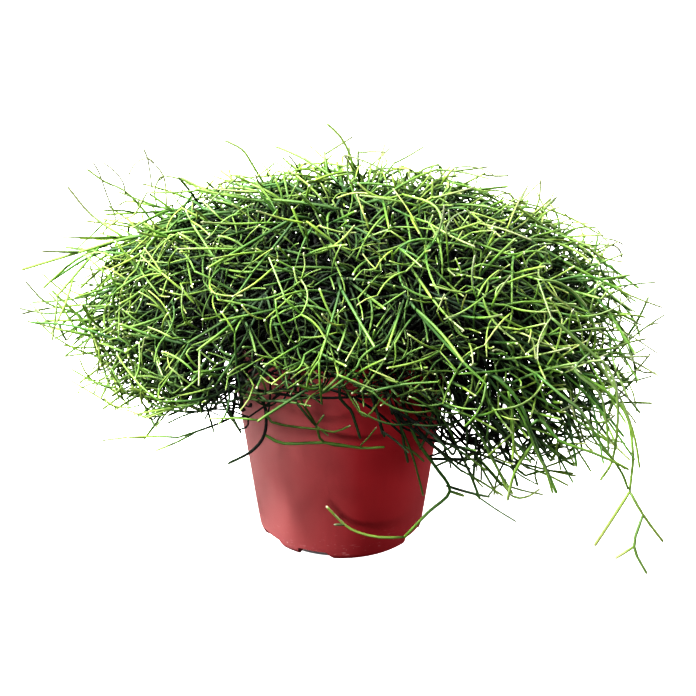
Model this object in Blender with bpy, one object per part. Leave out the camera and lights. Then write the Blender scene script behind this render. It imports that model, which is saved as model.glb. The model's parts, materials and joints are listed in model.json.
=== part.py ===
# A mistletoe cactus in a plastic nursery pot: the pot, the potting mix in it, and the rooted
# cuttings that stand in the mix. Metres, +Z up, origin at the centre of the pot's foot.

import math
import random

import bpy
import numpy as np

# The pot
POT_HEIGHT = 0.119
FOOT_RADIUS = 0.0440        # outside of the wall where the rounded foot ends
FOOT_ROUND = 0.004          # height of the rounded foot
WALL_SLOPE = 0.139          # how far the wall leans out for each unit of height
WALL = 0.0014
FLOOR_TOP = 0.0058
FLOOR_FILLET = ((0.0126, 0.0), (0.0081, 0.0006), (FLOOR_TOP, 0.003))   # (height, how far in from the wall)
LIP_HEIGHT = 0.009
LIP_PROUD = 0.0012
LIP_STEP = 0.0005           # the height over which the lip stands out
RIM_OUTSIDE = (0.0008, 0.0011)  # chamfer of the rim's outer edge: across, down
RIM_INSIDE = (0.0006, 0.0008)
PAD_RADIUS = 0.015          # the flat pad under the middle of the floor
RECESS_RADIUS = 0.032       # the channel between the pad and the foot
RECESS_DEPTH = 0.0036
RECESS_FLARE = 0.0015       # how far each side of the channel leans
FOOT_STEPS = 4
POT_SIDES = 40
SHARP_ANGLE = 35.0          # degrees, beyond which an edge isn't shaded smooth
NOTCH_HEIGHT = 0.0050
NOTCH_WIDTH = 0.0175
NOTCH_REACH = 0.024         # how far the cutter runs outwards
NOTCH_START = 0.030         # where it begins, from the middle
NOTCH_PAIRS = 3
FIRST_PAIR = -128.3         # degrees, the middle of the pair that shows at the front left
PAIR_SPREAD = 19.0          # degrees from the middle of a pair to each of its notches
DRAIN_RADIUS = 0.0035
DRAIN_RING = 0.026
DRAIN_SIDES = 10
DRAIN_CUT = (-0.007, 0.013)     # lowest and highest point of the cutter

# The potting mix
GAP = 0.0003                # between pieces that touch
SOIL_TOP = 0.1105
SOIL_SIDES = 24
SOIL_RINGS = 5
# The lower part of its side: (where the wall is measured, how far in from there, height)
SOIL_SIDE = ((FLOOR_TOP, 0.0042, FLOOR_TOP + GAP), (0.0081, 0.0015, 0.0088), (0.0131, 2 * GAP, 0.0131))
SOIL_EDGE = 0.004           # how far below the top its edge meets the wall
SOIL_REACH = 0.058
SOIL_SINK = 0.0022          # how far the surface falls from its middle to that reach
CLOD = 0.0011               # height of the uneven surface
CLOD_WAVES = (310.0, 265.0, 240.0, 520.0)   # waves in a stretch of tau metres
CLOD_SHIFTS = (1.3, -0.4)
FINE_CLOD = 0.6
HOLE_RADIUS = 0.0020
HOLE_SIDES = 8
HOLE_DEPTH = 0.020
NECK_RISE = 0.006           # from the mix to where a cutting's shoots part
NECK_TOP = 0.0015           # how far the old wood runs on into its first shoot

# The crown that the shoots fill
CROWN_MIDDLE = 0.125
CROWN_HALF_WIDTH = 0.158
CROWN_HALF_DEPTH = 0.112
CROWN_RISE = 0.082
LEFT_DROOP = 0.062          # how far each flank hangs below the middle
RIGHT_DROOP = 0.080
FRONT_DROOP = 0.024
BACK_DROOP = 0.055
TRAIL_DROOP = 0.026         # further droop of the flank that trails, at the front right
TRAIL_AZIMUTH = -32.0
TRAIL_SPREAD = 24.0
FLANK_POWER = 1.6           # the higher, the narrower the flanks that droop
UNDER_TAPER = 0.22          # how far the crown draws in at the end of its droop

# The cuttings
OUTER_CUTTINGS = 10
INNER_CUTTINGS = 4
OUTER_RING = 0.038
INNER_RING = 0.016
OUTER_FIRST = 0.3           # radians, where the first cutting of each ring stands
INNER_FIRST = 0.9
SEED = 2114
STEM_SIDES = 3
STEM_STOUT = 1.2            # a three-sided stem is as wide as the round one at this many radii
SHOOT_RADIUS = (0.00125, 0.00100, 0.00085, 0.00075)
STEM_CLEARANCE = 0.00045
POT_CLEARANCE = 0.0010
SOIL_CLEARANCE = 0.0025
LOWEST = 0.012              # no shoot reaches lower
STEM_SAMPLES = 9            # along each step of a shoot, where it is tried against the pot
FORK_REACH = 0.009          # the stretch by a fork where a shoot lies close to its parent
FORK_SHARE = 0.8            # and the most of its first step that this may be
STEM_END = 0.62             # how much narrower a stem's two ends are
TRIES = 26
OFF_PLUMB = np.array([0.013, 0.007, 0.0])      # keeps a side direction from vanishing on a plumb shoot
FIRST_ACROSS = np.array([0.31, 0.52, 0.79])

# The main shoots of a cutting
LEADER_STEPS = 6
OUTER_LEADERS = ((-0.15, 0.0), (-0.8, 0.22), (0.36, -0.2))     # (level in the crown, swing)
INNER_LEADERS = ((0.85, 0.0), (0.6, 1.0), (0.55, -1.0), (0.35, 0.3))
TRAILING_LEADERS = ((-0.5, -0.3),)                             # more, on the side that trails
TRAILING_SIDE = 0.5         # radians to each side of the trailing azimuth
LEADER_SWING = 0.25
LEADER_WANDER = 0.14        # of its level
HIGHEST_LEVEL = 0.97
LEADER_REACH = (0.72, 0.86)
LEADER_LEAN = (0.05, 0.4)   # of the first one, which rises from the neck
LEADER_FORKS = (0.10, 0.34)     # where the others leave the first, as shares of its length
FORK_OUTWARD = 0.9
FORK_LIFT = (-0.2, 0.5)
RISE = (0.026, 0.040)       # how far a main shoot rises before it bows over
RISE_IF_HIGH = 0.030
RISE_IF_LOW = 0.016
ARRIVAL = 0.012             # how far over its end the bow lies
ARRIVAL_IF_HIGH = -0.03
ARRIVAL_IF_LOW = 0.075
BOW_BACK = (0.03, 0.05)
BOW_ASIDE = 0.018
HANGING_RISE = np.array([0.36, 0.36, 0.75])     # of the way from the neck to a given route's start

# The side shoots, one plan for each rank
SIDE_PLANS = (
    {"shares": (0.5, 0.74, 0.97, 0.985), "lean": (24, 62), "length": (0.042, 0.066),
     "steps": 3, "reach": 1.0, "inward": 0.10, "kept": 1.0},
    {"shares": (0.62, 0.97), "lean": (24, 62), "length": (0.022, 0.036),
     "steps": 2, "reach": 1.06, "inward": 0.12, "kept": 0.56},
)
SIDE_OUTWARD = (0.1, 0.5)
SIDE_LIFT = (-0.35, 0.28)
SIDE_CURL = 0.25
SIDE_FLATNESS = 0.35        # how much a shoot's height counts in which way is outwards
SHORTER_BY_TRY = 0.35       # how much shorter the last try is than the first

# Shoots that hang clear of the crown, over the pot and at its trailing side: the cutting each
# grows from, its route from there in millimetres, and the routes of what forks from it.
HANGING = (
    (7, ((26, -62, 124), (31, -69, 106), (38, -67, 84), (48, -64, 67), (56, -57, 49), (45, -56, 36),
         (33, -55, 21)),
     (((33, -55, 21), (20, -57, 22), (9, -57, 25), (2, -56, 29), (-7, -57, 40)), ((2, -56, 29), (-3, -58, 30)),
      ((56, -57, 49), (63, -60, 48)))),
    (8, ((88, -62, 132), (122, -68, 118), (140, -74, 104), (145, -80, 84), (144, -85, 64)),
     (((144, -85, 64), (135, -87, 48), (128, -86, 34)), ((144, -85, 64), (151, -87, 52), (162, -86, 36)),
      ((151, -87, 52), (147, -91, 36), (154, -92, 21)), ((147, -91, 36), (138, -92, 30)))),
    (8, ((52, -74, 131), (74, -88, 129), (87, -91, 116), (95, -91, 95), (102, -90, 78), (107, -90, 66)),
     (((95, -91, 95), (86, -92, 79), (83, -90, 62)),)),
    (4, ((-50, 8, 158), (-80, 2, 168), (-110, -2, 166), (-134, -3, 159), (-164, -2, 149)),
     (((-110, -2, 166), (-128, 6, 176), (-140, 10, 190)), ((-134, -3, 159), (-152, -9, 162)))),
    (6, ((-32, -62, 129), (-41, -71, 117), (-37, -70, 102), (-38, -66, 86), (-45, -61, 74), (-57, -57, 65)),
     (((-38, -66, 86), (-28, -66, 81), (-8, -67, 82), (10, -65, 78), (22, -64, 78)),)),
)

UP = np.array([0.0, 0.0, 1.0])


def wall_radius(height):
    """Outside of the pot's wall at a height."""
    return FOOT_RADIUS + WALL_SLOPE * (height - FOOT_ROUND)


def unit(vector):
    return vector / np.linalg.norm(vector)


def material(name, colour, roughness):
    made = bpy.data.materials.new(name)
    made.use_nodes = True
    shader = made.node_tree.nodes["Principled BSDF"]
    shader.inputs["Base Color"].default_value = (*colour, 1.0)
    shader.inputs["Roughness"].default_value = roughness
    shader.inputs["Metallic"].default_value = 0.0
    return made


def mesh_object(name, points, faces, surface=None):
    mesh = bpy.data.meshes.new(name)
    mesh.from_pydata([tuple(p) for p in points], [], faces)
    mesh.update()
    made = bpy.data.objects.new(name, mesh)
    bpy.context.scene.collection.objects.link(made)
    if surface:
        mesh.materials.append(surface)
    return made


def stacked(name, rings, surface, split):
    """A closed solid from rings of points, whose first and last are one point each."""
    points = [point for ring in rings for point in ring]
    sides, bands = len(rings[1]), len(rings) - 3
    faces = []
    for k in range(sides):
        after = (k + 1) % sides
        faces.append((0, 1 + after, 1 + k))
        for band in range(bands):
            a = 1 + band * sides
            b = a + sides
            if split:
                faces += [(a + k, a + after, b + after), (a + k, b + after, b + k)]
            else:
                faces.append((a + k, a + after, b + after, b + k))
        last = 1 + bands * sides
        faces.append((last + k, last + after, len(points) - 1))
    return mesh_object(name, points, faces, surface)


def ring_points(radius, sides, height_at):
    """Points round a circle, each at the height that holds for its place."""
    turns = [math.tau * k / sides for k in range(sides)]
    places = [(radius * math.cos(turn), radius * math.sin(turn)) for turn in turns]
    return [(x, y, height_at(x, y)) for x, y in places]


def level_ring(radius, sides, height):
    return ring_points(radius, sides, lambda x, y: height)


def helper(made):
    """Marks a cutter, which is no piece of the plant."""
    made.hide_render = True
    made.display_type = "WIRE"
    return made


def cut(target, cutter):
    modifier = target.modifiers.new(cutter.name, "BOOLEAN")
    modifier.operation = "DIFFERENCE"
    modifier.object = cutter
    modifier.solver = "EXACT"


def pot_profile():
    """The pot's section, from the middle of its underside round to the middle of its floor."""
    lean = math.atan(WALL_SLOPE)
    arc = FOOT_ROUND / (1.0 - math.sin(lean))
    middle = FOOT_RADIUS - arc * math.cos(lean)
    section = [(0.0, 0.0), (PAD_RADIUS, 0.0), (PAD_RADIUS + RECESS_FLARE, RECESS_DEPTH),
               (RECESS_RADIUS, RECESS_DEPTH), (RECESS_RADIUS + RECESS_FLARE, 0.0)]
    for step in range(FOOT_STEPS + 1):
        turn = -math.pi / 2 + (math.pi / 2 - lean) * step / FOOT_STEPS
        section.append((middle + arc * math.cos(turn), arc + arc * math.sin(turn)))
    low_lip = POT_HEIGHT - LIP_HEIGHT
    rim = wall_radius(POT_HEIGHT) + LIP_PROUD
    section += [(wall_radius(low_lip), low_lip),
                (wall_radius(low_lip) + LIP_PROUD, low_lip + LIP_STEP),
                (rim, POT_HEIGHT - RIM_OUTSIDE[1]), (rim - RIM_OUTSIDE[0], POT_HEIGHT),
                (rim - LIP_PROUD - WALL + RIM_INSIDE[0], POT_HEIGHT),
                (inner_radius(POT_HEIGHT - RIM_INSIDE[1]), POT_HEIGHT - RIM_INSIDE[1])]
    section += [(inner_radius(height) - inset, height) for height, inset in FLOOR_FILLET]
    section.append((0.0, FLOOR_TOP))
    return section


def inner_radius(height):
    return wall_radius(height) - WALL


def notch_turns():
    """Where the notches in the foot lie, in radians."""
    for pair in range(NOTCH_PAIRS):
        middle = FIRST_PAIR + 360.0 * pair / NOTCH_PAIRS
        for side in (-1, 1):
            yield math.radians(middle + side * PAIR_SPREAD)


def build_pot():
    surface = material("red plastic", (0.235, 0.030, 0.034), 0.38)
    profile = pot_profile()
    rings = [level_ring(radius, POT_SIDES if radius else 1, height) for radius, height in profile]
    pot = stacked("pot", rings, surface, split=False)
    pot.data.shade_smooth()
    pot.data.set_sharp_from_angle(angle=math.radians(SHARP_ANGLE))
    for number, turn in enumerate(notch_turns()):
        bpy.ops.mesh.primitive_cube_add(size=1.0)
        notch = helper(bpy.context.object)
        notch.name = f"notch cutter {number}"
        middle = NOTCH_START + NOTCH_REACH / 2
        notch.location = (middle * math.cos(turn), middle * math.sin(turn), 0.0)
        notch.scale = (NOTCH_REACH, NOTCH_WIDTH, NOTCH_HEIGHT * 2)
        notch.rotation_euler = (0.0, 0.0, turn)
        cut(pot, notch)
        low, high = DRAIN_CUT
        bpy.ops.mesh.primitive_cylinder_add(vertices=DRAIN_SIDES, radius=DRAIN_RADIUS, depth=high - low)
        drain = helper(bpy.context.object)
        drain.name = f"drain cutter {number}"
        drain.location = (DRAIN_RING * math.cos(turn), DRAIN_RING * math.sin(turn), (low + high) / 2)
        cut(pot, drain)
    return pot


def soil_height(x, y):
    """The uneven top of the mix, lowest against the wall."""
    reach = math.hypot(x, y) / SOIL_REACH
    across, along, slant, fine = CLOD_WAVES
    waves = math.sin(across * x + CLOD_SHIFTS[0]) * math.cos(along * y + CLOD_SHIFTS[1])
    waves += FINE_CLOD * math.sin(fine * y + slant * x)
    return SOIL_TOP - SOIL_SINK * reach * reach + CLOD * waves


def build_soil(roots):
    """Potting mix that fills the pot, with a plain hole for each cutting."""
    surface = material("potting mix", (0.022, 0.014, 0.009), 0.95)
    edge = inner_radius(SOIL_TOP - SOIL_EDGE) - GAP * 2
    rings = [[(0.0, 0.0, SOIL_SIDE[0][2])]]
    for wall, inset, height in SOIL_SIDE:
        rings.append(level_ring(inner_radius(wall) - inset, SOIL_SIDES, height))
    for ring in range(SOIL_RINGS):
        rings.append(ring_points(edge * (1 - ring / SOIL_RINGS), SOIL_SIDES, soil_height))
    rings.append([(0.0, 0.0, soil_height(0.0, 0.0))])
    soil = stacked("soil", rings, surface, split=True)
    for number, (x, y) in enumerate(roots):
        bpy.ops.mesh.primitive_cylinder_add(vertices=HOLE_SIDES, radius=HOLE_RADIUS, depth=HOLE_DEPTH * 2)
        hole = helper(bpy.context.object)
        hole.name = f"planting hole cutter {number}"
        hole.location = (x, y, SOIL_TOP)
        cut(soil, hole)
    return soil


def root_places():
    """Where the cuttings stand: an outer ring, then an inner one."""
    places = []
    for count, ring, first in ((OUTER_CUTTINGS, OUTER_RING, OUTER_FIRST),
                               (INNER_CUTTINGS, INNER_RING, INNER_FIRST)):
        for k in range(count):
            turn = first + math.tau * k / count
            places.append((ring * math.cos(turn), ring * math.sin(turn)))
    return places


def droop(azimuth):
    """How far the crown hangs below its middle on this side."""
    side = abs(math.cos(azimuth)) ** FLANK_POWER
    plain = FRONT_DROOP if math.sin(azimuth) < 0 else BACK_DROOP
    off = math.degrees(math.remainder(azimuth - math.radians(TRAIL_AZIMUTH), math.tau))
    trail = TRAIL_DROOP * math.exp(-((off / TRAIL_SPREAD) ** 2))
    flank = RIGHT_DROOP if math.cos(azimuth) > 0 else LEFT_DROOP
    return plain + (flank - plain) * side + trail


def crown_point(azimuth, level, reach):
    """A place in the crown: level 1 is its top, 0 its widest, -1 the end of its droop."""
    if level >= 0:
        spread = math.cos(level * math.pi / 2)
        height = CROWN_MIDDLE + reach * CROWN_RISE * math.sin(level * math.pi / 2)
    else:
        spread = 1.0 - UNDER_TAPER * level * level
        height = CROWN_MIDDLE + droop(azimuth) * level
    return np.array([reach * CROWN_HALF_WIDTH * spread * math.cos(azimuth),
                     reach * CROWN_HALF_DEPTH * spread * math.sin(azimuth), height])


def crown_share(point):
    """How far out a point lies: 1 is the crown's surface."""
    x, y = point[0] / CROWN_HALF_WIDTH, point[1] / CROWN_HALF_DEPTH
    rise = point[2] - CROWN_MIDDLE
    if rise >= 0:
        return math.sqrt(x * x + y * y + (rise / CROWN_RISE) ** 2)
    azimuth = math.atan2(y * CROWN_HALF_DEPTH, x * CROWN_HALF_WIDTH)
    level = rise / droop(azimuth)
    flank = math.hypot(x, y) / (1.0 - UNDER_TAPER * min(1.0, level * level))
    return max(flank, -level)


def bezier(a, b, c, d, steps):
    t = np.linspace(0.0, 1.0, steps + 1)[:, None]
    s = 1.0 - t
    return s ** 3 * a + 3 * s * s * t * b + 3 * s * t * t * c + t ** 3 * d


def turned_away(heading, degrees, roll):
    """The heading leaned by an angle, towards a side given by the roll."""
    side = unit(np.cross(heading, UP + OFF_PLUMB))
    other = np.cross(heading, side)
    lean = math.radians(degrees)
    across = math.cos(roll) * side + math.sin(roll) * other
    return unit(math.cos(lean) * heading + math.sin(lean) * across)


def segment_gaps(a0, a1, b0, b1):
    """Distances between each segment a and each segment b."""
    u = (a1 - a0)[:, None, :]
    v = (b1 - b0)[None, :, :]
    w = a0[:, None, :] - b0[None, :, :]
    uu, vv, uv = (u * u).sum(2), (v * v).sum(2), (u * v).sum(2)
    uw, vw = (u * w).sum(2), (v * w).sum(2)
    spread = np.maximum(uu * vv - uv * uv, 1e-18)
    s = np.clip((uv * vw - vv * uw) / spread, 0.0, 1.0)
    t = np.clip((uv * s + vw) / vv, 0.0, 1.0)
    s = np.clip((uv * t - uw) / uu, 0.0, 1.0)
    return np.linalg.norm(w + s[..., None] * u - t[..., None] * v, axis=2)


class Thicket:
    """The shoots placed so far, so that the next one can be bent clear of them."""

    def __init__(self):
        self.start = np.zeros((0, 3))
        self.end = np.zeros((0, 3))
        self.stout = np.zeros(0)
        self.owner = np.zeros(0, int)

    def add(self, points, radius, owner):
        self.start = np.vstack([self.start, points[:-1]])
        self.end = np.vstack([self.end, points[1:]])
        self.stout = np.append(self.stout, np.full(len(points) - 1, radius))
        self.owner = np.append(self.owner, np.full(len(points) - 1, owner))

    def clear(self, points, radius, owner):
        if not len(self.start):
            return True
        room = self.stout + radius + STEM_CLEARANCE
        gaps = segment_gaps(points[:-1], points[1:], self.start, self.end)
        if (gaps < room)[:, self.owner != owner].any():
            return False
        # Near its own fork a shoot touches what it grows from, so that stretch is left out.
        free = np.array(points)
        first = free[1] - free[0]
        free[0] = free[0] + first * min(FORK_SHARE, FORK_REACH / np.linalg.norm(first))
        gaps = segment_gaps(free[:-1], free[1:], self.start, self.end)
        return not (gaps < room)[:, self.owner == owner].any()


def clear_of_pot(points, radius):
    """Whether a shoot stays over the mix and outside the pot's wall."""
    along = np.linspace(0, 1, STEM_SAMPLES)[:, None]
    samples = np.concatenate([a + (b - a) * along for a, b in zip(points[:-1], points[1:])])
    reach = np.hypot(samples[:, 0], samples[:, 1])
    height = samples[:, 2]
    wall = wall_radius(height) + LIP_PROUD
    outside = reach > wall + radius + POT_CLEARANCE
    over_soil = height > SOIL_TOP + SOIL_CLEARANCE + radius
    inside = over_soil & (reach < inner_radius(height) - radius - POT_CLEARANCE)
    above = height > POT_HEIGHT + radius + POT_CLEARANCE
    return bool((outside | inside | above).all()) and bool((height > LOWEST).all())


def shoot(points, rank, owner):
    return {"points": points, "rank": rank, "owner": owner,
            "radius": SHOOT_RADIUS[min(rank, len(SHOOT_RADIUS) - 1)]}


def place(made, thicket):
    """Adds the shoot where it is clear of every other, and says whether it was."""
    stout = made["radius"] * STEM_STOUT
    if not clear_of_pot(made["points"], stout):
        return False
    if not thicket.clear(made["points"], stout, made["owner"]):
        return False
    thicket.add(made["points"], stout, made["owner"])
    return True


def leader_route(start, heading, azimuth, level, reach, draw):
    """A main shoot: it rises, bows over and comes down to its place in the crown."""
    end = crown_point(azimuth, level, reach)
    out = np.array([math.cos(azimuth), math.sin(azimuth), 0.0])
    high, low = max(0.0, level), max(0.0, -level)
    rise = draw.uniform(*RISE) + RISE_IF_HIGH * high + RISE_IF_LOW * low
    arrive = UP * (ARRIVAL + ARRIVAL_IF_LOW * low + ARRIVAL_IF_HIGH * high)
    bow = end + arrive - out * draw.uniform(*BOW_BACK)
    bow = bow + np.array([-out[1], out[0], 0.0]) * draw.uniform(-BOW_ASIDE, BOW_ASIDE)
    return bezier(start, start + heading * rise, bow, end, LEADER_STEPS)


def grow_hanging(roots, thicket):
    """The shoots whose routes are given, each from the neck of its cutting."""
    shoots = []
    for owner, route, forks in HANGING:
        neck = neck_of(roots[owner])
        points = np.array(route) / 1000.0
        rise = neck + (points[0] - neck) * HANGING_RISE
        made = shoot(np.vstack([neck, rise, points]), 0, owner)
        shoots.append(made)
        thicket.add(made["points"], made["radius"] * STEM_STOUT, owner)
        for fork in forks:
            made = shoot(np.array(fork) / 1000.0, 2, owner)
            shoots.append(made)
            thicket.add(made["points"], made["radius"] * STEM_STOUT, owner)
    return shoots


def neck_of(root):
    """Where a cutting's shoots part, just over the mix."""
    return np.array([root[0], root[1], SOIL_TOP + NECK_RISE])


def grow_stocks(roots, thicket):
    """The old wood of each cutting, which stands in its hole."""
    stocks = []
    for owner, root in enumerate(roots):
        neck = neck_of(root)
        route = np.array([neck - UP * (NECK_RISE + HOLE_DEPTH - GAP), neck + UP * NECK_TOP])
        stocks.append(shoot(route, 0, owner))
        thicket.add(route, stocks[-1]["radius"] * STEM_STOUT, owner)
    return stocks


def grow_leaders(roots, thicket, draw):
    """The main shoots: the first of a cutting rises from its neck, the others fork from it."""
    shoots = []
    for owner, (x, y) in enumerate(roots):
        outer = owner < OUTER_CUTTINGS
        neck = neck_of((x, y))
        own = math.atan2(y, x)
        first = None
        plan = OUTER_LEADERS if outer else INNER_LEADERS
        if outer and abs(math.remainder(own - math.radians(TRAIL_AZIMUTH), math.tau)) < TRAILING_SIDE:
            plan += TRAILING_LEADERS
        for level, swing in plan:
            for attempt in range(TRIES * 3):
                azimuth = own + swing + draw.uniform(-LEADER_SWING, LEADER_SWING) * (1 + attempt / TRIES)
                high = level + draw.uniform(-LEADER_WANDER, LEADER_WANDER)
                high = min(HIGHEST_LEVEL, max(-HIGHEST_LEVEL, high))
                out = np.array([math.cos(azimuth), math.sin(azimuth), 0.0])
                if first is None:
                    bend = draw.uniform(*LEADER_LEAN) * (1 + attempt / TRIES)
                    start, heading = neck, unit(UP + out * bend)
                else:
                    share = draw.uniform(*LEADER_FORKS)
                    start, along = next(forks_of(first, [share]))
                    heading = unit(along + FORK_OUTWARD * out + UP * draw.uniform(*FORK_LIFT))
                route = leader_route(start, heading, azimuth, high, draw.uniform(*LEADER_REACH), draw)
                made = shoot(route, 0, owner)
                if place(made, thicket):
                    shoots.append(made)
                    first = first or made
                    break
    return shoots


def side_route(start, heading, length, steps, draw):
    """A side shoot: an arc that turns outwards and a little down."""
    out = unit(np.array([start[0], start[1], SIDE_FLATNESS * (start[2] - CROWN_MIDDLE) + 1e-4]))
    pull = out * draw.uniform(*SIDE_OUTWARD) + UP * draw.uniform(*SIDE_LIFT)
    curl = unit(np.array([draw.uniform(-1, 1) for _ in range(3)])) * SIDE_CURL
    points = [start]
    for _ in range(steps):
        heading = unit(heading + (pull + curl) / steps)
        points.append(points[-1] + heading * length / steps)
    return np.array(points)


def forks_of(parent, shares):
    """Where side shoots leave a shoot: a point and the heading there, for each share of it."""
    points = parent["points"]
    lengths = np.linalg.norm(np.diff(points, axis=0), axis=1)
    ends = np.cumsum(lengths)
    for share in shares:
        along = share * ends[-1]
        k = min(int(np.searchsorted(ends, along)), len(lengths) - 1)
        heading = (points[k + 1] - points[k]) / lengths[k]
        yield points[k] + heading * (along - (ends[k] - lengths[k])), heading


def grow_sides(parents, plan, thicket, draw):
    """One rank of side shoots, from every shoot of the rank before."""
    shoots = []
    for parent in parents:
        for start, heading in forks_of(parent, plan["shares"]):
            if draw.random() > plan["kept"]:
                continue
            for attempt in range(TRIES):
                lean = draw.uniform(*plan["lean"])
                roll = draw.uniform(0, math.tau)
                length = draw.uniform(*plan["length"]) * (1 - SHORTER_BY_TRY * attempt / TRIES)
                away = turned_away(heading, lean, roll)
                route = side_route(start, away, length, plan["steps"], draw)
                made = shoot(route, parent["rank"] + 1, parent["owner"])
                if crown_share(route[-1]) > plan["reach"]:
                    continue
                if crown_share(route[-1]) < crown_share(start) - plan["inward"]:
                    continue
                if place(made, thicket):
                    shoots.append(made)
                    break
    return shoots


def grow_plant():
    """Every shoot of every cutting, main shoots first."""
    draw = random.Random(SEED)
    thicket = Thicket()
    roots = root_places()
    stocks = grow_stocks(roots, thicket)
    hanging = grow_hanging(roots, thicket)
    rank = grow_leaders(roots, thicket, draw)
    shoots = stocks + hanging + rank
    rank = rank + [made for made in hanging if made["rank"] == 0]
    for plan in SIDE_PLANS:
        rank = grow_sides(rank, plan, thicket, draw)
        shoots += rank
    return roots, shoots


def stem_mesh(made):
    """Points and faces of a closed shoot, narrower where it is sunk and at its tip."""
    route = made["points"]
    stout = made["radius"] * STEM_STOUT
    heads = np.gradient(route, axis=0)
    across = unit(np.cross(heads[0], FIRST_ACROSS))
    points = []
    for k, middle in enumerate(route):
        head = unit(heads[k])
        across = unit(across - head * np.dot(across, head))
        other = np.cross(head, across)
        size = stout * (STEM_END if k in (0, len(route) - 1) else 1.0)
        for side in range(STEM_SIDES):
            turn = math.tau * side / STEM_SIDES
            points.append(middle + size * (math.cos(turn) * across + math.sin(turn) * other))
    faces = []
    for k in range(len(route) - 1):
        for side in range(STEM_SIDES):
            a = k * STEM_SIDES + side
            b = k * STEM_SIDES + (side + 1) % STEM_SIDES
            faces.append((a, b, b + STEM_SIDES, a + STEM_SIDES))
    last = (len(route) - 1) * STEM_SIDES
    faces.append(tuple(range(STEM_SIDES))[::-1])
    faces.append(tuple(range(last, last + STEM_SIDES)))
    return points, faces


def fuse(name, shoots, surface):
    """One closed solid from a cutting's shoots."""
    stock = bpy.data.collections.new(name + " shoots")
    bpy.context.scene.collection.children.link(stock)
    base = None
    for number, made in enumerate(shoots):
        points, faces = stem_mesh(made)
        stem = mesh_object(name if number == 0 else f"{name} shoot {number}", points, faces, surface)
        if number == 0:
            base = stem
        else:
            bpy.context.scene.collection.objects.unlink(stem)
            stock.objects.link(stem)
    union = base.modifiers.new("fused shoots", "BOOLEAN")
    union.operation = "UNION"
    union.operand_type = "COLLECTION"
    union.collection = stock
    union.solver = "MANIFOLD"
    bpy.context.view_layer.update()
    graph = bpy.context.evaluated_depsgraph_get()
    fused = bpy.data.meshes.new_from_object(base.evaluated_get(graph))
    base.modifiers.clear()
    base.data = fused
    for stem in list(stock.objects):
        bpy.data.objects.remove(stem)
    bpy.data.collections.remove(stock)
    fused.shade_smooth()
    return base


def main():
    for old in list(bpy.data.objects):
        bpy.data.objects.remove(old)
    roots, shoots = grow_plant()
    build_pot()
    build_soil(roots)
    green = material("green stem", (0.075, 0.19, 0.022), 0.42)
    for owner in range(len(roots)):
        fuse(f"cutting_{owner + 1:02d}", [s for s in shoots if s["owner"] == owner], green)


if __name__ == "__main__":
    main()
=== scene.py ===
import json
import math
import random

import bpy
import numpy as np
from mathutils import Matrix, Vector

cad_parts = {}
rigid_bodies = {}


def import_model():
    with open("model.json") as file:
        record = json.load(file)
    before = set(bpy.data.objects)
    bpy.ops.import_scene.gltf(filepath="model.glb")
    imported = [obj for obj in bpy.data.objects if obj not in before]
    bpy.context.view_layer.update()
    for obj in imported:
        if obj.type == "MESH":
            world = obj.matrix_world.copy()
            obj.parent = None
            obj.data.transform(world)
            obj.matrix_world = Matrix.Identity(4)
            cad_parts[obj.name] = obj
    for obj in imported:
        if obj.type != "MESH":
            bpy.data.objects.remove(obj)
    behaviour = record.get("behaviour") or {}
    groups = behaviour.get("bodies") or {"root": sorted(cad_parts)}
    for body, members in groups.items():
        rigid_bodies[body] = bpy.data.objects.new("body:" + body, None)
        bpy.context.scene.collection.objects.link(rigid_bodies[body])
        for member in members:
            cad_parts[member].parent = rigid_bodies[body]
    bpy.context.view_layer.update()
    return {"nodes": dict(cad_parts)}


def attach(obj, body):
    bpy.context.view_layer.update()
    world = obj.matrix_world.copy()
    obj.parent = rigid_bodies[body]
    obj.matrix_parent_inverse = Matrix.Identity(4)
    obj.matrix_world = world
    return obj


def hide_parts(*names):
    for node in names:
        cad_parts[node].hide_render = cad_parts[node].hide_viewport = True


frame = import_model()
print("loaded", len(frame["nodes"]), "solids")

up = np.array([0.0, 0.0, 1.0])


def unit(vector):
    return vector / np.linalg.norm(vector)


# Camera

cameraView = {
    "aim": (0.0039, 0.0, 0.1035),
    "distance": 1.15,
    "elevation": 24.6,  # degrees
    "lens": 113.3,  # mm on a 36 mm sensor
}


def makeCamera():
    tilt = math.radians(cameraView["elevation"])
    x, y, z = cameraView["aim"]
    data = bpy.data.cameras.new("studioCamera")
    data.lens = cameraView["lens"]
    data.sensor_width = 36.0
    camera = bpy.data.objects.new("studioCamera", data)
    camera.location = (x, y - cameraView["distance"] * math.cos(tilt), z + cameraView["distance"] * math.sin(tilt))
    camera.rotation_euler = (math.pi / 2 - tilt, 0.0, 0.0)
    bpy.context.scene.collection.objects.link(camera)
    bpy.context.scene.camera = camera


# Floor, sky and lamps

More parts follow.
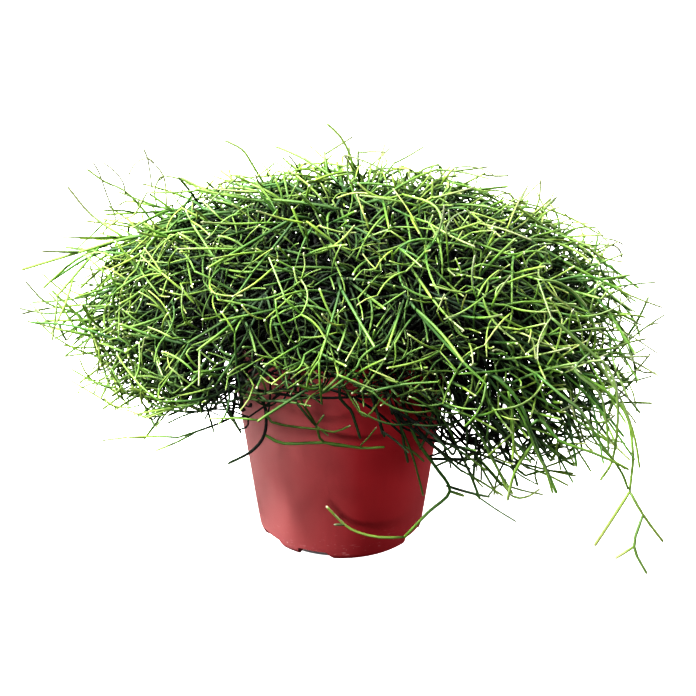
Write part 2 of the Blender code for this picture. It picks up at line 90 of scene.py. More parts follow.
studio = {
    "floorSize": 14.0,
    "floorColour": (0.92, 0.92, 0.92),
    "floorGlow": 0.95,  # keeps the floor pale where the plant shades it
    "glowFrom": (0.0373, 0.0377),  # painted shadow under the pot: no glow nearer the middle than this, so that it is dark under the pot
    # middle of the painted shadow under the pot, a little off the pot's middle
    "glowMiddle": (-0.0008, 0.0002, 0.0),
    "skyAbove": (1.0, 1.0, 1.0),
    "skyBelow": (0.05, 0.055, 0.05),  # what the undersides of the stems see
    "skyStrength": 0.14,
    # name, place, aim, size, watts, colour
    "lamps": (
        ("keyLamp", (-0.88, -0.48, 1.22), (0.0, 0.0, 0.12), 0.24, 81.0, (1.0, 0.99, 0.97)),
        ("topLamp", (0.05, 0.30, 1.35), (0.0, 0.0, 0.14), 0.3, 31.0, (1.0, 1.0, 1.0)),
        ("leftPanel", (-1.05, 0.30, 0.06), (0.0, 0.0, 0.07), 0.7, 16.5, (1.0, 0.98, 0.97)),
        ("rightPanel", (1.0, 0.30, 0.08), (0.0, 0.0, 0.07), 0.4, 12.0, (1.0, 0.98, 0.96)),
        ("frontPanel", (-0.10, -1.35, 0.12), (0.0, 0.0, 0.05), 0.6, 15.0, (1.0, 1.0, 1.0)),
    ),
}


def makeStudio():
    mesh = bpy.data.meshes.new("floor")
    half = studio["floorSize"] / 2
    mesh.from_pydata([(-half, -half, 0), (half, -half, 0), (half, half, 0), (-half, half, 0)], [], [(0, 1, 2, 3)])
    floor = bpy.data.objects.new("floor", mesh)
    bpy.context.scene.collection.objects.link(floor)
    floor.location.z = -0.0004
    paint, shader = newMaterial("palePaper", studio["floorColour"], 0.95)
    shader.inputs["Emission Color"].default_value = (1.0, 1.0, 1.0, 1.0)
    tree = paint.node_tree
    # painted shadow: the floor's glow fades out in a disc under the pot
    middle = addNode(tree, "ShaderNodeVectorMath", {1: studio["glowMiddle"]}, operation="DISTANCE")
    tree.links.new(addNode(tree, "ShaderNodeTexCoord").outputs["Object"], middle.inputs[0])
    near, far = studio["glowFrom"]
    glow = addNode(tree, "ShaderNodeMapRange", {"From Min": near, "From Max": far, "To Max": studio["floorGlow"]})
    tree.links.new(middle.outputs["Value"], glow.inputs["Value"])
    tree.links.new(glow.outputs["Result"], shader.inputs["Emission Strength"])
    shader.inputs["Specular IOR Level"].default_value = 0.0
    mesh.materials.append(paint)
    floor.visible_diffuse = False
    floor.visible_glossy = False

    world = bpy.data.worlds.new("studioSky")
    bpy.context.scene.world = world
    world.use_nodes = True
    tree = world.node_tree
    sky = tree.nodes["Background"]
    sky.inputs["Strength"].default_value = studio["skyStrength"]
    place = tree.nodes.new("ShaderNodeTexCoord")
    split = tree.nodes.new("ShaderNodeSeparateXYZ")
    ramp = tree.nodes.new("ShaderNodeValToRGB")
    ramp.color_ramp.elements[0].position = 0.40
    ramp.color_ramp.elements[0].color = (*studio["skyBelow"], 1.0)
    ramp.color_ramp.elements[1].position = 0.62
    ramp.color_ramp.elements[1].color = (*studio["skyAbove"], 1.0)
    lift = tree.nodes.new("ShaderNodeMath")
    lift.operation = "MULTIPLY_ADD"
    lift.inputs[1].default_value = 0.5
    lift.inputs[2].default_value = 0.5
    tree.links.new(place.outputs["Generated"], split.inputs[0])
    tree.links.new(split.outputs["Z"], lift.inputs[0])
    tree.links.new(lift.outputs[0], ramp.inputs["Fac"])
    tree.links.new(ramp.outputs["Color"], sky.inputs["Color"])

    for name, place, aim, size, watts, colour in studio["lamps"]:
        data = bpy.data.lights.new(name, "AREA")
        data.shape = "DISK"
        data.size = size
        data.energy = watts
        data.color = colour
        lamp = bpy.data.objects.new(name, data)
        lamp.location = place
        away = np.array(place) - np.array(aim)
        lamp.rotation_mode = "QUATERNION"
        lamp.rotation_quaternion = Vector(away).to_track_quat("Z", "Y")
        bpy.context.scene.collection.objects.link(lamp)
    settings = bpy.context.scene.view_settings
    settings.view_transform = "Standard"
    settings.look = "High Contrast"


# Materials

def newMaterial(name, colour, roughness):
    made = bpy.data.materials.new(name)
    made.use_nodes = True
    shader = made.node_tree.nodes["Principled BSDF"]
    shader.inputs["Base Color"].default_value = (*colour, 1.0)
    shader.inputs["Roughness"].default_value = roughness
    return made, shader


def addNode(tree, kind, values=None, **settings):
    node = tree.nodes.new(kind)
    for key, value in settings.items():
        setattr(node, key, value)
    for key, value in (values or {}).items():
        node.inputs[key].default_value = value
    return node


def addRamp(tree, source, stops):
    ramp = tree.nodes.new("ShaderNodeValToRGB")
    while len(ramp.color_ramp.elements) < len(stops):
        ramp.color_ramp.elements.new(0.5)
    for element, (position, colour) in zip(ramp.color_ramp.elements, stops):
        element.position = position
        element.color = (*colour, 1.0) if len(colour) == 3 else colour
    tree.links.new(source, ramp.inputs["Fac"])
    return ramp.outputs["Color"]


def mixColour(tree, amount, first, second, blend="MIX"):
    mix = tree.nodes.new("ShaderNodeMix")
    mix.data_type = "RGBA"
    mix.blend_type = blend
    sockets = {"Factor": mix.inputs[0], "A": mix.inputs[6], "B": mix.inputs[7]}
    for key, value in (("Factor", amount), ("A", first), ("B", second)):
        if isinstance(value, bpy.types.NodeSocket):
            tree.links.new(value, sockets[key])
        elif key == "Factor":
            sockets[key].default_value = value
        else:
            sockets[key].default_value = (*value, 1.0)
    return mix.outputs[2]


def addMath(tree, operation, first, second, third=None):
    node = tree.nodes.new("ShaderNodeMath")
    node.operation = operation
    for socket, value in zip(node.inputs, (first, second, third)):
        if isinstance(value, bpy.types.NodeSocket):
            tree.links.new(value, socket)
        elif value is not None:
            socket.default_value = value
    return node.outputs[0]


def addNoise(tree, where, scale, detail=2.0, stretch=None):
    if stretch:
        mapping = addNode(tree, "ShaderNodeMapping", {"Scale": stretch})
        tree.links.new(where, mapping.inputs["Vector"])
        where = mapping.outputs[0]
    noise = addNode(tree, "ShaderNodeTexNoise", {"Scale": scale, "Detail": detail})
    tree.links.new(where, noise.inputs["Vector"])
    return noise.outputs["Fac"]


def addBump(tree, shader, height, strength, depth):
    bump = addNode(tree, "ShaderNodeBump", {"Strength": strength, "Distance": depth})
    tree.links.new(height, bump.inputs["Height"])
    tree.links.new(bump.outputs[0], shader.inputs["Normal"])


# The pot

potShape = {
    "height": 0.119,
    "footRadius": 0.0440,  # outside of the wall where the rounded foot ends
    "footRound": 0.004,
    "wallSlope": 0.139,
    "wall": 0.0014,
    "floorTop": 0.0058,
    "lipHeight": 0.009,
    "lipProud": 0.0012,
    "padRadius": 0.015,
    "recessRadius": 0.032,
    "recessDepth": 0.0036,
    "sides": 160,
    "notchHeight": 0.0050,
    "notchWidth": 0.0175,
    "notchReach": 0.024,
    "firstPair": -128.3,  # degrees
    "pairSpread": 19.0,
    "drainRadius": 0.0035,
    "drainRing": 0.026,
    "colour": (0.285, 0.012, 0.019),
    "deepColour": (0.235, 0.008, 0.015),
    "bandColour": (0.31, 0.025, 0.028),
    "paintedSheenColour": (0.38, 0.245, 0.23),  # painted sheen, pale pink, on the side that faces the light
    "scuffColour": (0.85, 0.60, 0.58),
    "footShade": (0.58, 0.50, 0.52),
}


def wallRadius(height):
    return potShape["footRadius"] + potShape["wallSlope"] * (height - potShape["footRound"])


def arcPoints(middle, radius, first, last, steps):
    turns = np.linspace(first, last, steps + 1)
    return [(middle[0] + radius * math.cos(turn), middle[1] + radius * math.sin(turn)) for turn in turns]


def potSection():
    shape = potShape
    lean = math.atan(shape["wallSlope"])
    arc = shape["footRound"] / (1.0 - math.sin(lean))
    middle = (shape["footRadius"] - arc * math.cos(lean), arc)
    pad, recess, depth = shape["padRadius"], shape["recessRadius"], shape["recessDepth"]
    section = [(0.0, 0.0), (pad * 0.6, 0.0), (pad - 0.0004, 0.0), (pad, 0.0002), (pad + 0.0011, depth - 0.0003),
               (pad + 0.0016, depth), (recess, depth), (recess + 0.0005, depth - 0.0003),
               (recess + 0.0014, 0.0002), (recess + 0.0018, 0.0)]
    section += arcPoints(middle, arc, -math.pi / 2, -lean, 12)
    low, top = shape["height"] - shape["lipHeight"], shape["height"]
    section += [(wallRadius(height), height) for height in np.linspace(0.014, low - 0.001, 14)]
    proud, wall = shape["lipProud"], shape["wall"]
    section += [(wallRadius(low), low), (wallRadius(low) + proud * 0.45, low + 0.0002),
                (wallRadius(low) + proud * 0.9, low + 0.0006), (wallRadius(low) + proud, low + 0.0012)]
    rim = wallRadius(top) + proud
    section += arcPoints((rim - 0.0009, top - 0.0009), 0.0009, 0.0, math.pi / 2, 5)
    inner = rim - proud - wall
    section += arcPoints((inner + 0.0007, top - 0.0007), 0.0007, math.pi / 2, math.pi, 4)
    section += [(wallRadius(height) - wall, height) for height in np.linspace(top - 0.003, 0.0126, 14)]
    floor = shape["floorTop"]
    section += [(wallRadius(floor + 0.0023) - wall - 0.0006, floor + 0.0023),
                (wallRadius(floor + 0.0008) - wall - 0.002, floor + 0.0004),
                (wallRadius(floor) - wall - 0.003, floor), (0.0, floor)]
    return section


def lathe(name, section, sides):
    rings = section[1:-1]
    turns = np.arange(sides) * math.tau / sides
    points = [[(0.0, 0.0, section[0][1])]]
    for radius, height in rings:
        points.append(np.stack([radius * np.cos(turns), radius * np.sin(turns), np.full(sides, height)], axis=1))
    points.append([(0.0, 0.0, section[-1][1])])
    points = np.vstack(points)
    faces = []
    for k in range(sides):
        after = (k + 1) % sides
        faces.append((0, 1 + after, 1 + k))
        for ring in range(len(rings) - 1):
            low = 1 + ring * sides
            faces.append((low + k, low + after, low + sides + after, low + sides + k))
        last = 1 + (len(rings) - 1) * sides
        faces.append((last + k, last + after, len(points) - 1))
    mesh = bpy.data.meshes.new(name)
    mesh.from_pydata(points.tolist(), [], faces)
    mesh.update()
    made = bpy.data.objects.new(name, mesh)
    bpy.context.scene.collection.objects.link(made)
    return made


def notchCutter(turn):
    shape = potShape  # a wedge, wider below than at its top, with rounded upper corners
    half, high = shape["notchWidth"] / 2, shape["notchHeight"]
    outline = [(-half, -high), (half + 0.0030, -high), (half + 0.0018, high * 0.25), (half - 0.0006, high * 0.82),
               (half - 0.0018, high), (-half + 0.0006, high), (-half + 0.0001, high * 0.86)]
    start = shape["recessRadius"] - 0.002
    points = [(start + reach, side, level) for reach in (0.0, shape["notchReach"]) for side, level in outline]
    count = len(outline)
    faces = [tuple(range(count))[::-1], tuple(range(count, 2 * count))]
    faces += [(k, (k + 1) % count, count + (k + 1) % count, count + k) for k in range(count)]
    mesh = bpy.data.meshes.new("notchCutter")
    mesh.from_pydata(points, [], faces)
    cutter = bpy.data.objects.new("notchCutter", mesh)
    cutter.rotation_euler.z = turn
    return cutter


def drainCutter(turn):
    shape = potShape
    outline = np.arange(28) * math.tau / 28
    points = [(shape["drainRing"] * math.cos(turn) + shape["drainRadius"] * math.cos(a),
               shape["drainRing"] * math.sin(turn) + shape["drainRadius"] * math.sin(a), level)
              for level in (-0.006, 0.012) for a in outline]
    count = len(outline)
    faces = [tuple(range(count))[::-1], tuple(range(count, 2 * count))]
    faces += [(k, (k + 1) % count, count + (k + 1) % count, count + k) for k in range(count)]
    mesh = bpy.data.meshes.new("drainCutter")
    mesh.from_pydata(points, [], faces)
    return bpy.data.objects.new("drainCutter", mesh)


def makePot():
    pot = lathe("nurseryPot", potSection(), potShape["sides"])
    cutters = bpy.data.collections.new("potCutters")
    bpy.context.scene.collection.children.link(cutters)
    for pair in range(3):
        for side in (-1, 1):
            turn = math.radians(potShape["firstPair"] + 120.0 * pair + side * potShape["pairSpread"])
            for cutter in (notchCutter(turn), drainCutter(turn)):
                cutters.objects.link(cutter)
    cut = pot.modifiers.new("cut", "BOOLEAN")
    cut.operation = "DIFFERENCE"
    cut.operand_type = "COLLECTION"
    cut.collection = cutters
    cut.solver = "EXACT"
    bpy.context.view_layer.update()
    graph = bpy.context.evaluated_depsgraph_get()
    mesh = bpy.data.meshes.new_from_object(pot.evaluated_get(graph))
    pot.modifiers.clear()
    pot.data = mesh
    for cutter in list(cutters.objects):
        bpy.data.objects.remove(cutter)
    bpy.data.collections.remove(cutters)
    mesh.shade_smooth()
    mesh.set_sharp_from_angle(angle=math.radians(32))
    mesh.materials.clear()
    mesh.materials.append(redPlastic())
    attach(pot, "root")
    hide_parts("pot")
    print("pot made,", len(mesh.polygons), "faces")


def redPlastic():
    made, shader = newMaterial("redPlastic", potShape["colour"], 0.55)
    tree = made.node_tree
    place = addNode(tree, "ShaderNodeTexCoord").outputs["Object"]
    bands = addNoise(tree, place, 1.0, 3.0, (240.0, 240.0, 3.0))  # faint upright bands from the mould
    clouds = addNoise(tree, place, 26.0, 3.0)
    colour = addRamp(tree, clouds, ((0.30, potShape["deepColour"]), (0.72, potShape["colour"])))
    colour = mixColour(tree, addMath(tree, "MULTIPLY", bands, 0.22), colour, potShape["bandColour"])
    height = addNode(tree, "ShaderNodeSeparateXYZ")
    tree.links.new(place, height.inputs[0])
    # painted sheen: the colour turns paler pink towards the pot's left side, mottled by the clouds
    paintedSheenMask = addNode(tree, "ShaderNodeMapRange", {"From Min": 0.01, "From Max": -0.055, "To Max": 0.55})
    tree.links.new(height.outputs["X"], paintedSheenMask.inputs["Value"])
    paintedSheenMask = addMath(tree, "MULTIPLY", paintedSheenMask.outputs["Result"], addMath(tree, "MULTIPLY_ADD", clouds, 0.8, 0.6))
    colour = mixColour(tree, paintedSheenMask, colour, potShape["paintedSheenColour"])
    dim = addNode(tree, "ShaderNodeMapRange", {"From Min": 0.050, "From Max": 0.0, "To Max": 0.6})
    tree.links.new(height.outputs["Z"], dim.inputs["Value"])
    colour = mixColour(tree, dim.outputs["Result"], colour, potShape["footShade"], "MULTIPLY")
    low = addNode(tree, "ShaderNodeMapRange", {"From Min": 0.020, "From Max": 0.002})
    tree.links.new(height.outputs["Z"], low.inputs["Value"])
    scratches = addNoise(tree, place, 1.0, 4.0, (260.0, 260.0, 900.0))
    spots = addNoise(tree, place, 420.0, 2.0)
    marks = addRamp(tree, scratches, ((0.64, (0, 0, 0)), (0.76, (1, 1, 1))))
    specks = addRamp(tree, spots, ((0.70, (0, 0, 0)), (0.76, (1, 1, 1))))
    worn = addMath(tree, "MULTIPLY", addMath(tree, "MAXIMUM", marks, specks), low.outputs["Result"])
    colour = mixColour(tree, addMath(tree, "MULTIPLY", worn, 0.30), colour, potShape["scuffColour"])
    tree.links.new(colour, shader.inputs["Base Color"])
    gloss = addMath(tree, "MULTIPLY_ADD", clouds, 0.14, 0.52)
    gloss = addMath(tree, "MULTIPLY_ADD", worn, 0.2, gloss)
    tree.links.new(gloss, shader.inputs["Roughness"])
    grain = addNoise(tree, place, 1500.0, 2.0)
    relief = addMath(tree, "MULTIPLY_ADD", bands, 1.2, addMath(tree, "MULTIPLY", grain, 0.35))
    addBump(tree, shader, relief, 0.25, 0.0003)
    return made


# The potting mix

soilShape = {
    "top": 0.1105,
    "sideFrom": 0.0131,
    "gap": 0.0003,
    "sides": 150,
    "rings": 52,
    "clod": 0.0011,
    "crumb": 0.0011,
    "crumbs": 420,
    "crumbSize": (0.0007, 0.0024),
    "seed": 77,
}


def soilHeight(x, y):
    reach = np.hypot(x, y) / 0.058
    waves = np.sin(310 * x + 1.3) * np.cos(265 * y - 0.4) + 0.6 * np.sin(520 * y + 240 * x)
    return soilShape["top"] - 0.0022 * reach * reach + soilShape["clod"] * waves


def crumbled(x, y, draw):
    rough = np.zeros_like(x)
    for scale, share in ((700.0, 0.5), (1500.0, 0.35), (3100.0, 0.2)):
        for _ in range(4):
            turn, shift = draw.uniform(0, math.tau), draw.uniform(0, math.tau)
            rough += share * np.sin(scale * (x * math.cos(turn) + y * math.sin(turn)) + shift) / 2
    return rough


def makeSoil(roots):
    shape = soilShape
    draw = random.Random(shape["seed"])
    edge = wallRadius(shape["top"] - 0.004) - potShape["wall"] - 2 * shape["gap"]
    turns = np.arange(shape["sides"]) * math.tau / shape["sides"]
    low, bottom = shape["sideFrom"], potShape["floorTop"] + shape["gap"]
    radius = wallRadius(low) - potShape["wall"] - 2 * shape["gap"]
    points = [np.array([[0.0, 0.0, bottom]])]
    points.append(np.stack([radius * np.cos(turns), radius * np.sin(turns), np.full_like(turns, low)], axis=1))
    for ring in range(shape["rings"]):
        radius = edge * (1 - ring / shape["rings"])
        x, y = radius * np.cos(turns), radius * np.sin(turns)
        rough = crumbled(x, y, random.Random(shape["seed"])) * shape["crumb"] * min(1.0, ring / 2)
        z = soilHeight(x, y) + rough
        for rootX, rootY in roots:
            z -= 0.0016 * np.exp(-((x - rootX) ** 2 + (y - rootY) ** 2) / 0.0032 ** 2)
        points.append(np.stack([x, y, z], axis=1))
    points.append(np.array([[0.0, 0.0, float(soilHeight(0.0, 0.0))]]))
    points = np.vstack(points)
    sides, rings = shape["sides"], shape["rings"] + 1
    faces = []
    for k in range(sides):
        after = (k + 1) % sides
        faces.append((0, 1 + after, 1 + k))
        for ring in range(rings - 1):
            a = 1 + ring * sides
            faces.append((a + k, a + after, a + sides + after, a + sides + k))
        last = 1 + (rings - 1) * sides
        faces.append((last + k, last + after, len(points) - 1))
    vertices, polygons = [points], list(faces)
    base = len(points)
    corners, sheets = crumbSolid()
    for _ in range(shape["crumbs"]):
        turn, reach = draw.uniform(0, math.tau), (edge - 0.003) * math.sqrt(draw.random())
        x, y = reach * math.cos(turn), reach * math.sin(turn)
        size = draw.uniform(*shape["crumbSize"]) * draw.uniform(0.5, 1.0)
        stretch = np.array([draw.uniform(0.7, 1.4), draw.uniform(0.7, 1.4), draw.uniform(0.5, 0.9)])
        bumps = np.array([draw.uniform(0.78, 1.2) for _ in corners])[:, None]
        spin = draw.uniform(0, math.tau)
        turned = corners * bumps * stretch * size
        turned = turned @ np.array([[math.cos(spin), -math.sin(spin), 0], [math.sin(spin), math.cos(spin), 0], [0, 0, 1]])
        middle = np.array([x, y, float(soilHeight(x, y)) + size * 0.3])
        vertices.append(turned + middle)
        polygons += [tuple(base + corner for corner in sheet) for sheet in sheets]
        base += len(corners)
    mesh = bpy.data.meshes.new("pottingMix")
    mesh.from_pydata(np.vstack(vertices).tolist(), [], polygons)
    mesh.update()
    mesh.shade_smooth()
    mesh.materials.append(darkMix())
    soil = bpy.data.objects.new("pottingMix", mesh)
    bpy.context.scene.collection.objects.link(soil)
    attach(soil, "root")
    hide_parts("soil")
    print("potting mix made,", len(mesh.polygons), "faces")


def crumbSolid():
    # a 12-cornered crumb, made uneven when it is placed
    gold = (1 + math.sqrt(5)) / 2
    corners = np.array([(-1, gold, 0), (1, gold, 0), (-1, -gold, 0), (1, -gold, 0), (0, -1, gold), (0, 1, gold),
                        (0, -1, -gold), (0, 1, -gold), (gold, 0, -1), (gold, 0, 1), (-gold, 0, -1), (-gold, 0, 1)])
    faces = []
    for a in range(12):
        for b in range(a + 1, 12):
            for c in range(b + 1, 12):
                sides = [np.linalg.norm(corners[p] - corners[q]) for p, q in ((a, b), (b, c), (a, c))]
                if max(sides) < 2.01:
                    outward = np.dot(np.cross(corners[b] - corners[a], corners[c] - corners[a]), corners[a]) > 0
                    faces.append((a, b, c) if outward else (a, c, b))
    return corners / np.linalg.norm(corners[0]), faces


def darkMix():
    made, shader = newMaterial("darkMix", (0.02, 0.013, 0.009), 0.95)
    tree = made.node_tree
    place = addNode(tree, "ShaderNodeTexCoord").outputs["Object"]
    clods = addNoise(tree, place, 330.0, 4.0)
    colour = addRamp(tree, clods, ((0.3, (0.006, 0.004, 0.003)), (0.52, (0.022, 0.014, 0.009)), (0.75, (0.06, 0.04, 0.026))))
    tree.links.new(colour, shader.inputs["Base Color"])
    addBump(tree, shader, addNoise(tree, place, 1300.0, 4.0), 0.7, 0.0004)
    return made


# How the plant grows: the main shoots follow the same rule as the solids

crown = {
    "middle": 0.125,
    "halfWidth": 0.158,
    "halfDepth": 0.112,
    "rise": 0.082,
    "leftDroop": 0.062,
    "rightDroop": 0.080,
    "frontDroop": 0.024,
    "backDroop": 0.055,
    "trailDroop": 0.026,
    "trailAzimuth": -32.0,
}

cuttings = {
    "outer": 10,
    "inner": 4,
    "outerRing": 0.038,
    "innerRing": 0.016,
    "outerFirst": 0.3,
    "innerFirst": 0.9,
    "neckRise": 0.006,
    "holeDepth": 0.020,
    "seed": 2114,
    "stemStout": 1.2,
    "shootRadius": (0.00125, 0.00100, 0.00085, 0.00075),
    "stemClearance": 0.00045,
    "potClearance": 0.0010,
    "soilClearance": 0.0025,
    "forkReach": 0.009,
    "tries": 26,
    "leaderSteps": 6,
    "outerLeaders": ((-0.15, 0.0), (-0.8, 0.22), (0.36, -0.2)),  # (level in the crown, swing)
    "innerLeaders": ((0.85, 0.0), (0.6, 1.0), (0.55, -1.0), (0.35, 0.3)),
    "trailingLeaders": ((-0.5, -0.3),),
}

# Shoots that hang clear of the crown, in millimetres: the cutting, its route, and what forks from it
hanging = (
    (7, ((26, -62, 124), (31, -69, 106), (38, -67, 84), (48, -64, 67), (56, -57, 49), (45, -56, 36),
         (33, -55, 21)),
     (((33, -55, 21), (20, -57, 22), (9, -57, 25), (2, -56, 29), (-7, -57, 40)), ((2, -56, 29), (-3, -58, 30)),
      ((56, -57, 49), (63, -60, 48)))),
    (8, ((88, -62, 132), (122, -68, 118), (140, -74, 104), (145, -80, 84), (144, -85, 64)),
     (((144, -85, 64), (135, -87, 48), (128, -86, 34)), ((144, -85, 64), (151, -87, 52), (162, -86, 36)),
      ((151, -87, 52), (147, -91, 36), (154, -92, 21)), ((147, -91, 36), (138, -92, 30)))),
    (8, ((52, -74, 131), (74, -88, 129), (87, -91, 116), (95, -91, 95), (102, -90, 78), (107, -90, 66)),
     (((95, -91, 95), (86, -92, 79), (83, -90, 62)),)),
    (4, ((-50, 8, 158), (-80, 2, 168), (-110, -2, 166), (-134, -3, 159), (-164, -2, 149)),
     (((-110, -2, 166), (-128, 6, 176), (-140, 10, 190)), ((-134, -3, 159), (-152, -9, 162)))),
    (6, ((-32, -62, 129), (-41, -71, 117), (-37, -70, 102), (-38, -66, 86), (-45, -61, 74), (-57, -57, 65)),
     (((-38, -66, 86), (-28, -66, 81), (-8, -67, 82), (10, -65, 78), (22, -64, 78)),)),
)

sidePlans = (
    {"shares": (0.5, 0.74, 0.97, 0.985), "lean": (24, 62), "length": (0.042, 0.066),
     "steps": 3, "reach": 1.0, "inward": 0.10, "kept": 1.0},
    {"shares": (0.62, 0.97), "lean": (24, 62), "length": (0.022, 0.036),
     "steps": 2, "reach": 1.06, "inward": 0.12, "kept": 0.56},
)


def rootPlaces():
    places = []
    for count, ring, first in ((cuttings["outer"], cuttings["outerRing"], cuttings["outerFirst"]),
                               (cuttings["inner"], cuttings["innerRing"], cuttings["innerFirst"])):
        for k in range(count):
            turn = first + math.tau * k / count
            places.append((ring * math.cos(turn), ring * math.sin(turn)))
    return places


def droop(azimuth):
    side = abs(math.cos(azimuth)) ** 1.6
    plain = crown["frontDroop"] if math.sin(azimuth) < 0 else crown["backDroop"]
    off = math.degrees(math.remainder(azimuth - math.radians(crown["trailAzimuth"]), math.tau))
    trail = crown["trailDroop"] * math.exp(-((off / 24.0) ** 2))
    flank = crown["rightDroop"] if math.cos(azimuth) > 0 else crown["leftDroop"]
    return plain + (flank - plain) * side + trail


def crownPoint(azimuth, level, reach):
    if level >= 0:
        spread = math.cos(level * math.pi / 2)
        height = crown["middle"] + reach * crown["rise"] * math.sin(level * math.pi / 2)
    else:
        spread = 1.0 - 0.22 * level * level
        height = crown["middle"] + droop(azimuth) * level
    return np.array([reach * crown["halfWidth"] * spread * math.cos(azimuth),
                     reach * crown["halfDepth"] * spread * math.sin(azimuth), height])


def crownShare(point):
    x, y = point[0] / crown["halfWidth"], point[1] / crown["halfDepth"]
    rise = point[2] - crown["middle"]
    if rise >= 0:
        return math.sqrt(x * x + y * y + (rise / crown["rise"]) ** 2)
    azimuth = math.atan2(y * crown["halfDepth"], x * crown["halfWidth"])
    level = rise / droop(azimuth)
    flank = math.hypot(x, y) / max(0.2, 1.0 - 0.22 * min(1.0, level * level))
    return max(flank, -level)


def bezier(a, b, c, d, steps):
    t = np.linspace(0.0, 1.0, steps + 1)[:, None]
    s = 1.0 - t
    return s ** 3 * a + 3 * s * s * t * b + 3 * s * t * t * c + t ** 3 * d


def turnedAway(heading, degrees, roll):
    side = unit(np.cross(heading, up + np.array([0.013, 0.007, 0.0])))
    other = np.cross(heading, side)
    lean = math.radians(degrees)
    across = math.cos(roll) * side + math.sin(roll) * other
    return unit(math.cos(lean) * heading + math.sin(lean) * across)


def segmentGaps(a0, a1, b0, b1):
    u = (a1 - a0)[:, None, :]
    v = (b1 - b0)[None, :, :]
    w = a0[:, None, :] - b0[None, :, :]
    uu, vv, uv = (u * u).sum(2), (v * v).sum(2), (u * v).sum(2)
    uw, vw = (u * w).sum(2), (v * w).sum(2)
    spread = np.maximum(uu * vv - uv * uv, 1e-18)
    s = np.clip((uv * vw - vv * uw) / spread, 0.0, 1.0)
    t = np.clip((uv * s + vw) / vv, 0.0, 1.0)
    s = np.clip((uv * t - uw) / uu, 0.0, 1.0)
    return np.linalg.norm(w + s[..., None] * u - t[..., None] * v, axis=2)


thicket = {"start": np.zeros((0, 3)), "end": np.zeros((0, 3)), "stout": np.zeros(0), "owner": np.zeros(0, int)}


def addToThicket(made):
    points, count = made["points"], len(made["points"]) - 1
    thicket["start"] = np.vstack([thicket["start"], points[:-1]])
    thicket["end"] = np.vstack([thicket["end"], points[1:]])
    thicket["stout"] = np.append(thicket["stout"], np.full(count, made["radius"] * cuttings["stemStout"]))
    thicket["owner"] = np.append(thicket["owner"], np.full(count, made["owner"]))


def isClear(made):
    if not len(thicket["start"]):
        return True
    points = made["points"]
    room = thicket["stout"] + made["radius"] * cuttings["stemStout"] + cuttings["stemClearance"]
    own = thicket["owner"] == made["owner"]
    gaps = segmentGaps(points[:-1], points[1:], thicket["start"], thicket["end"])
    if (gaps < room)[:, ~own].any():
        return False
    free = np.array(points)  # by its own fork a shoot touches what it grows from
    first = free[1] - free[0]
    free[0] = free[0] + first * min(0.8, cuttings["forkReach"] / np.linalg.norm(first))
    gaps = segmentGaps(free[:-1], free[1:], thicket["start"], thicket["end"])
    return not (gaps < room)[:, own].any()


def clearOfPot(points, radius):
    samples = np.concatenate([a + (b - a) * np.linspace(0, 1, 9)[:, None] for a, b in zip(points[:-1], points[1:])])
    reach = np.hypot(samples[:, 0], samples[:, 1])
    height = samples[:, 2]
    wall = wallRadius(height) + potShape["lipProud"]
    outside = reach > wall + radius + cuttings["potClearance"]
    overSoil = height > soilShape["top"] + cuttings["soilClearance"] + radius
    inside = overSoil & (reach < wallRadius(height) - potShape["wall"] - radius - cuttings["potClearance"])
    above = height > potShape["height"] + radius + cuttings["potClearance"]
    return bool((outside | inside | above).all()) and bool((height > 0.012).all())


def shoot(points, rank, owner):
    radii = cuttings["shootRadius"]
    return {"points": points, "rank": rank, "owner": owner, "radius": radii[min(rank, len(radii) - 1)]}


def place(made):
    if not clearOfPot(made["points"], made["radius"] * cuttings["stemStout"]) or not isClear(made):
        return False
    addToThicket(made)
    return True


def neckOf(root):
    return np.array([root[0], root[1], soilShape["top"] + cuttings["neckRise"]])


def leaderRoute(start, heading, azimuth, level, reach, draw):
    end = crownPoint(azimuth, level, reach)
    out = np.array([math.cos(azimuth), math.sin(azimuth), 0.0])
    rise = draw.uniform(0.026, 0.040) + 0.030 * max(0.0, level) + 0.016 * max(0.0, -level)
    arrive = up * (0.012 + 0.075 * max(0.0, -level) - 0.03 * max(0.0, level))
    bow = end + arrive - out * draw.uniform(0.03, 0.05)
    bow = bow + np.array([-out[1], out[0], 0.0]) * draw.uniform(-0.018, 0.018)
    return bezier(start, start + heading * rise, bow, end, cuttings["leaderSteps"])


def growStocks(roots):
    stocks = []
    for owner, root in enumerate(roots):
        neck = neckOf(root)
        deep = cuttings["neckRise"] + cuttings["holeDepth"] - soilShape["gap"]
        stocks.append(shoot(np.array([neck - up * deep, neck + up * 0.0015]), 0, owner))
        addToThicket(stocks[-1])
    return stocks


def growHanging(roots):
    shoots = []
    for owner, route, forks in hanging:
        neck = neckOf(roots[owner])
        points = np.array(route) / 1000.0
        rise = neck + (points[0] - neck) * np.array([0.36, 0.36, 0.75])
        shoots.append(shoot(np.vstack([neck, rise, points]), 0, owner))
        addToThicket(shoots[-1])
        for fork in forks:
            shoots.append(shoot(np.array(fork) / 1000.0, 2, owner))
            addToThicket(shoots[-1])
    return shoots


